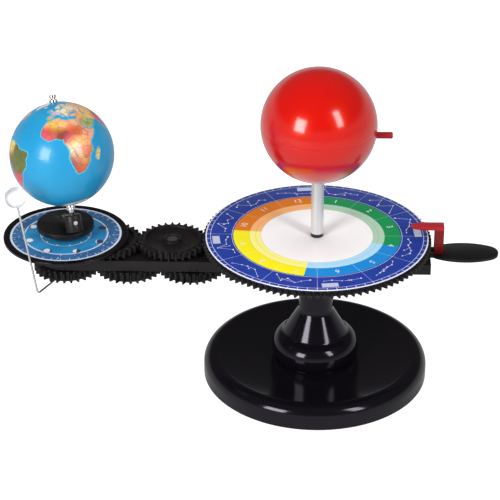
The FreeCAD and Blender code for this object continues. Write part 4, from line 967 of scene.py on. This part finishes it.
def globe():
    for name, node, sign in (("globe_north_half", "globe_north", 1), ("globe_south_half", "globe_south", -1)):
        shape = lathe(half_shell(GLOBE_RADIUS, GLOBE_WALL, BUSH_RADIUS, sign, 60), 240)
        soften(shape, 0.08, 60, 1)
        made = piece(name, moved(shape, globe_middle, globe_axis), "globe", finishes["map_print"], [node])
        mark_map(made)


def on_rod(node, corners, name, body, width):
    """A turned piece on the globe's slanting rod."""
    shape = lathe(corners, 48)
    soften(shape, width, 50, 2)
    piece(name, moved(shape, globe_middle, globe_axis), body, finishes["chrome"], [node])


def globe_mount():
    """The rod with its collar, its cap and the bushes at the globe's poles."""
    rod, foot, top = ROD_RADIUS, -ROD_FOOT, ROD_TOP - CAP_HALF
    collar, wide = -BUSH_HIGH - COLLAR_GAP, ROD_RADIUS + COLLAR_WIDE
    under = collar - COLLAR_THICK
    on_rod("globe_rod", [(0, foot), (rod, foot), (rod, under), (wide, under), (wide, collar), (rod, collar),
                         (rod, top), (0, top)], "bright_rod", "earth", 0.15)
    wide = rod + CAP_WALL
    on_rod("rod_cap", [(0, top), (rod, top), (rod, top - CAP_HALF), (wide, top - CAP_HALF),
                       (wide, top + CAP_HALF), (0, top + CAP_HALF)], "bright_cap", "earth", 0.45)
    bore = rod + BUSH_PLAY
    for node, low, high in (("globe_north_bush", BUSH_LOW, BUSH_HIGH),
                            ("globe_south_bush", -BUSH_HIGH, -BUSH_LOW)):
        on_rod(node, [(bore, low), (BUSH_RADIUS, low), (BUSH_RADIUS, high), (bore, high)],
               f"bright_{node}", "globe", 0.25)


def moon():
    shape = bmesh.new()
    bmesh.ops.create_uvsphere(shape, u_segments=64, v_segments=32, radius=moon_radius)
    piece("moon_globe", moved(shape, moon_middle), "moon", finishes["moon_white"], ["moon_ball"])


# Finishes of the CAD nodes that keep their shape, and of their rounded copies
ROUNDED = {
    "arm": ("arm", "black_satin", 0.5), "date_pointer": ("arm", "pointer_red", 0.5),
    "fixed_lower_gear": ("base", "gear_black", 0.2), "season_gear": ("base", "gear_black", 0.2),
    "lower_idler_1": ("lower_idler_1", "gear_black", 0.2),
    "lower_idler_2": ("lower_idler_2", "gear_black", 0.2),
    "lower_idler_3": ("lower_idler_3", "gear_black", 0.2),
    "upper_idler_1": ("upper_idler_1", "gear_black", 0.2),
    "upper_idler_2": ("upper_idler_2", "gear_black", 0.2), "earth_gear": ("earth", "gear_black", 0.2),
    "earth_hub": ("earth", "black_satin", 0.3), "sun_peg": ("base", "pointer_red", 0.15),
    "earth_axle": ("earth", "chrome", 0.1), "moon_wire": ("moon", "chrome", 0.05),
}
PLAIN = {
    "felt_disc": "felt", "base_cover": "black_satin", "base_screws": "steel", "ballast_disc": "cast_ballast",
    "spindle": "steel", "spindle_foot_nut": "steel", "spindle_washer": "steel", "spindle_top_nut": "steel",
    "bearing_sleeve": "brass", "thrust_washers": "brass", "pointer_screw": "steel",
    "phase_pinion": "gear_black",
    "lower_pin_1": "steel", "lower_pin_2": "steel", "lower_pin_3": "steel", "upper_pin_1": "steel",
    "upper_pin_2": "steel", "axle_nut": "steel", "clamp_screw": "steel", "moon_hub": "steel",
}


def cad_nodes():
    for node, finish in PLAIN.items():
        mesh = nodes[node].data
        mesh.materials.clear()
        mesh.materials.append(finishes[finish])
    for node, (body, finish, width) in ROUNDED.items():
        softened(node, body, finishes[finish], width)


# Studio
CAMERA_PLACE = (-0.0188, -1.5487, 0.9751)
CAMERA_AIM = (-0.0585, -0.0016, 0.1242)
CAMERA_LENS = 144.9
# Each softbox's direction from the Sun, its width and height in metres and its watts
SOFTBOXES = [
    ((-0.597, -0.735, 0.318), (0.56, 0.66), 18.0),
    ((0.595, -0.611, 0.520), (0.32, 0.86), 11.0),
]
SOFTBOX_FAR = 1.6
FLOOR_HALF = 6.0
FLOOR_GLOW = 0.86
GLOSSY_FLOOR = 0.15
# The room's light at the floor's level and overhead, and what shiny pieces mirror there
AIR_LOW, AIR_HIGH = 0.3, 0.8
WALL_LOW, WALL_HIGH = 0.5, 0.08


def camera():
    data = bpy.data.cameras.new("camera")
    data.lens = CAMERA_LENS
    data.clip_start = 0.05
    data.clip_end = 50
    made = bpy.data.objects.new("camera", data)
    bpy.context.scene.collection.objects.link(made)
    made.location = CAMERA_PLACE
    made.rotation_euler = (Vector(CAMERA_AIM) - Vector(CAMERA_PLACE)).to_track_quat("-Z", "Y").to_euler()
    bpy.context.scene.camera = made


def softboxes():
    aim = Vector((0, 0, sun_seam))
    for towards, (wide, high), power in SOFTBOXES:
        data = bpy.data.lights.new("softbox", "AREA")
        data.shape = "RECTANGLE"
        data.size, data.size_y = wide, high
        data.energy = power
        lamp = bpy.data.objects.new("softbox", data)
        bpy.context.scene.collection.objects.link(lamp)
        lamp.location = aim + Vector(towards) * SOFTBOX_FAR
        lamp.rotation_euler = (-Vector(towards)).to_track_quat("-Z", "Y").to_euler()


def floor():
    shape = bmesh.new()
    bmesh.ops.create_grid(shape, x_segments=1, y_segments=1, size=FLOOR_HALF)
    mesh = bpy.data.meshes.new("floor")
    shape.to_mesh(mesh)
    shape.free()
    made = bpy.data.objects.new("floor", mesh)
    bpy.context.scene.collection.objects.link(made)
    paint = Paint("floor", roughness=0.9)
    tone = paint.noise(paint.place(), 0.01, 2)
    paint.shade("Base Color", paint.mix(tone, colour(184, 184, 184), colour(188, 188, 188)))
    paint.shade("Specular IOR Level", 0.0)
    seen, shiny = paint.rays()
    seen = seen + shiny * GLOSSY_FLOOR
    paint.shade("Emission Color", paint.mix(seen, colour(0, 0, 0), colour(255, 255, 255)))
    paint.shade("Emission Strength", FLOOR_GLOW)
    mesh.materials.append(paint.material)


def world():
    scene = bpy.context.scene
    scene.world = bpy.data.worlds.new("studio")
    scene.world.use_nodes = True
    studio = Nodes(scene.world.node_tree)
    ground = studio.tree.nodes["Background"]
    up = studio.axes(studio.node("TexCoord", output="Generated"))[2]
    stops = [(0.0, grey(WALL_LOW)), (0.12, grey(WALL_LOW)), (0.3, grey(WALL_HIGH)), (1.0, grey(WALL_HIGH))]
    walls = studio.node("ValToRGB", {"stops": stops}, {0: up})
    white, shiny = studio.rays()
    air = studio.mix(up, grey(AIR_LOW), grey(AIR_HIGH))
    plain = studio.mix(shiny, air, walls)
    studio.feed(ground.inputs["Color"], studio.mix(white, plain, grey(1)))


finishes = {
    "black_gloss": black_gloss(),
    "black_satin": black_satin(),
    "gear_black": black_satin("gear_black", 3.5),
    "chrome": polished_metal("chrome", colour(226, 226, 230), 0.08),
    "post_metal": post_metal(),
    "steel": turned_metal("steel", colour(168, 168, 170), 0.3),
    "brass": turned_metal("brass", colour(196, 160, 92), 0.28),
    "cast_ballast": turned_metal("cast_ballast", colour(92, 92, 94), 0.6),
    "sun_red": sun_gloss(),
    "pointer_red": pointer_gloss(),
    "moon_white": moon_white(),
    "felt": felt(),
    "dial_print": dial_print(),
    "card_print": card_print(),
    "white_ink": flat_print("white_ink", colour(240, 243, 250)),
    "pale_ink": flat_print("pale_ink", colour(196, 206, 232)),
    "navy_ink": flat_print("navy_ink", colour(14, 34, 72)),
    "map_print": map_print(),
}

camera()
softboxes()
floor()
world()
glossy_base()
glossy_column()
sun()
post()
dial()
star_signs()
blank_labels()
month_numbers()
phase_disc()
phase_faces()
globe()
globe_mount()
moon()
cad_nodes()

bpy.context.scene.view_settings.view_transform = "Standard"
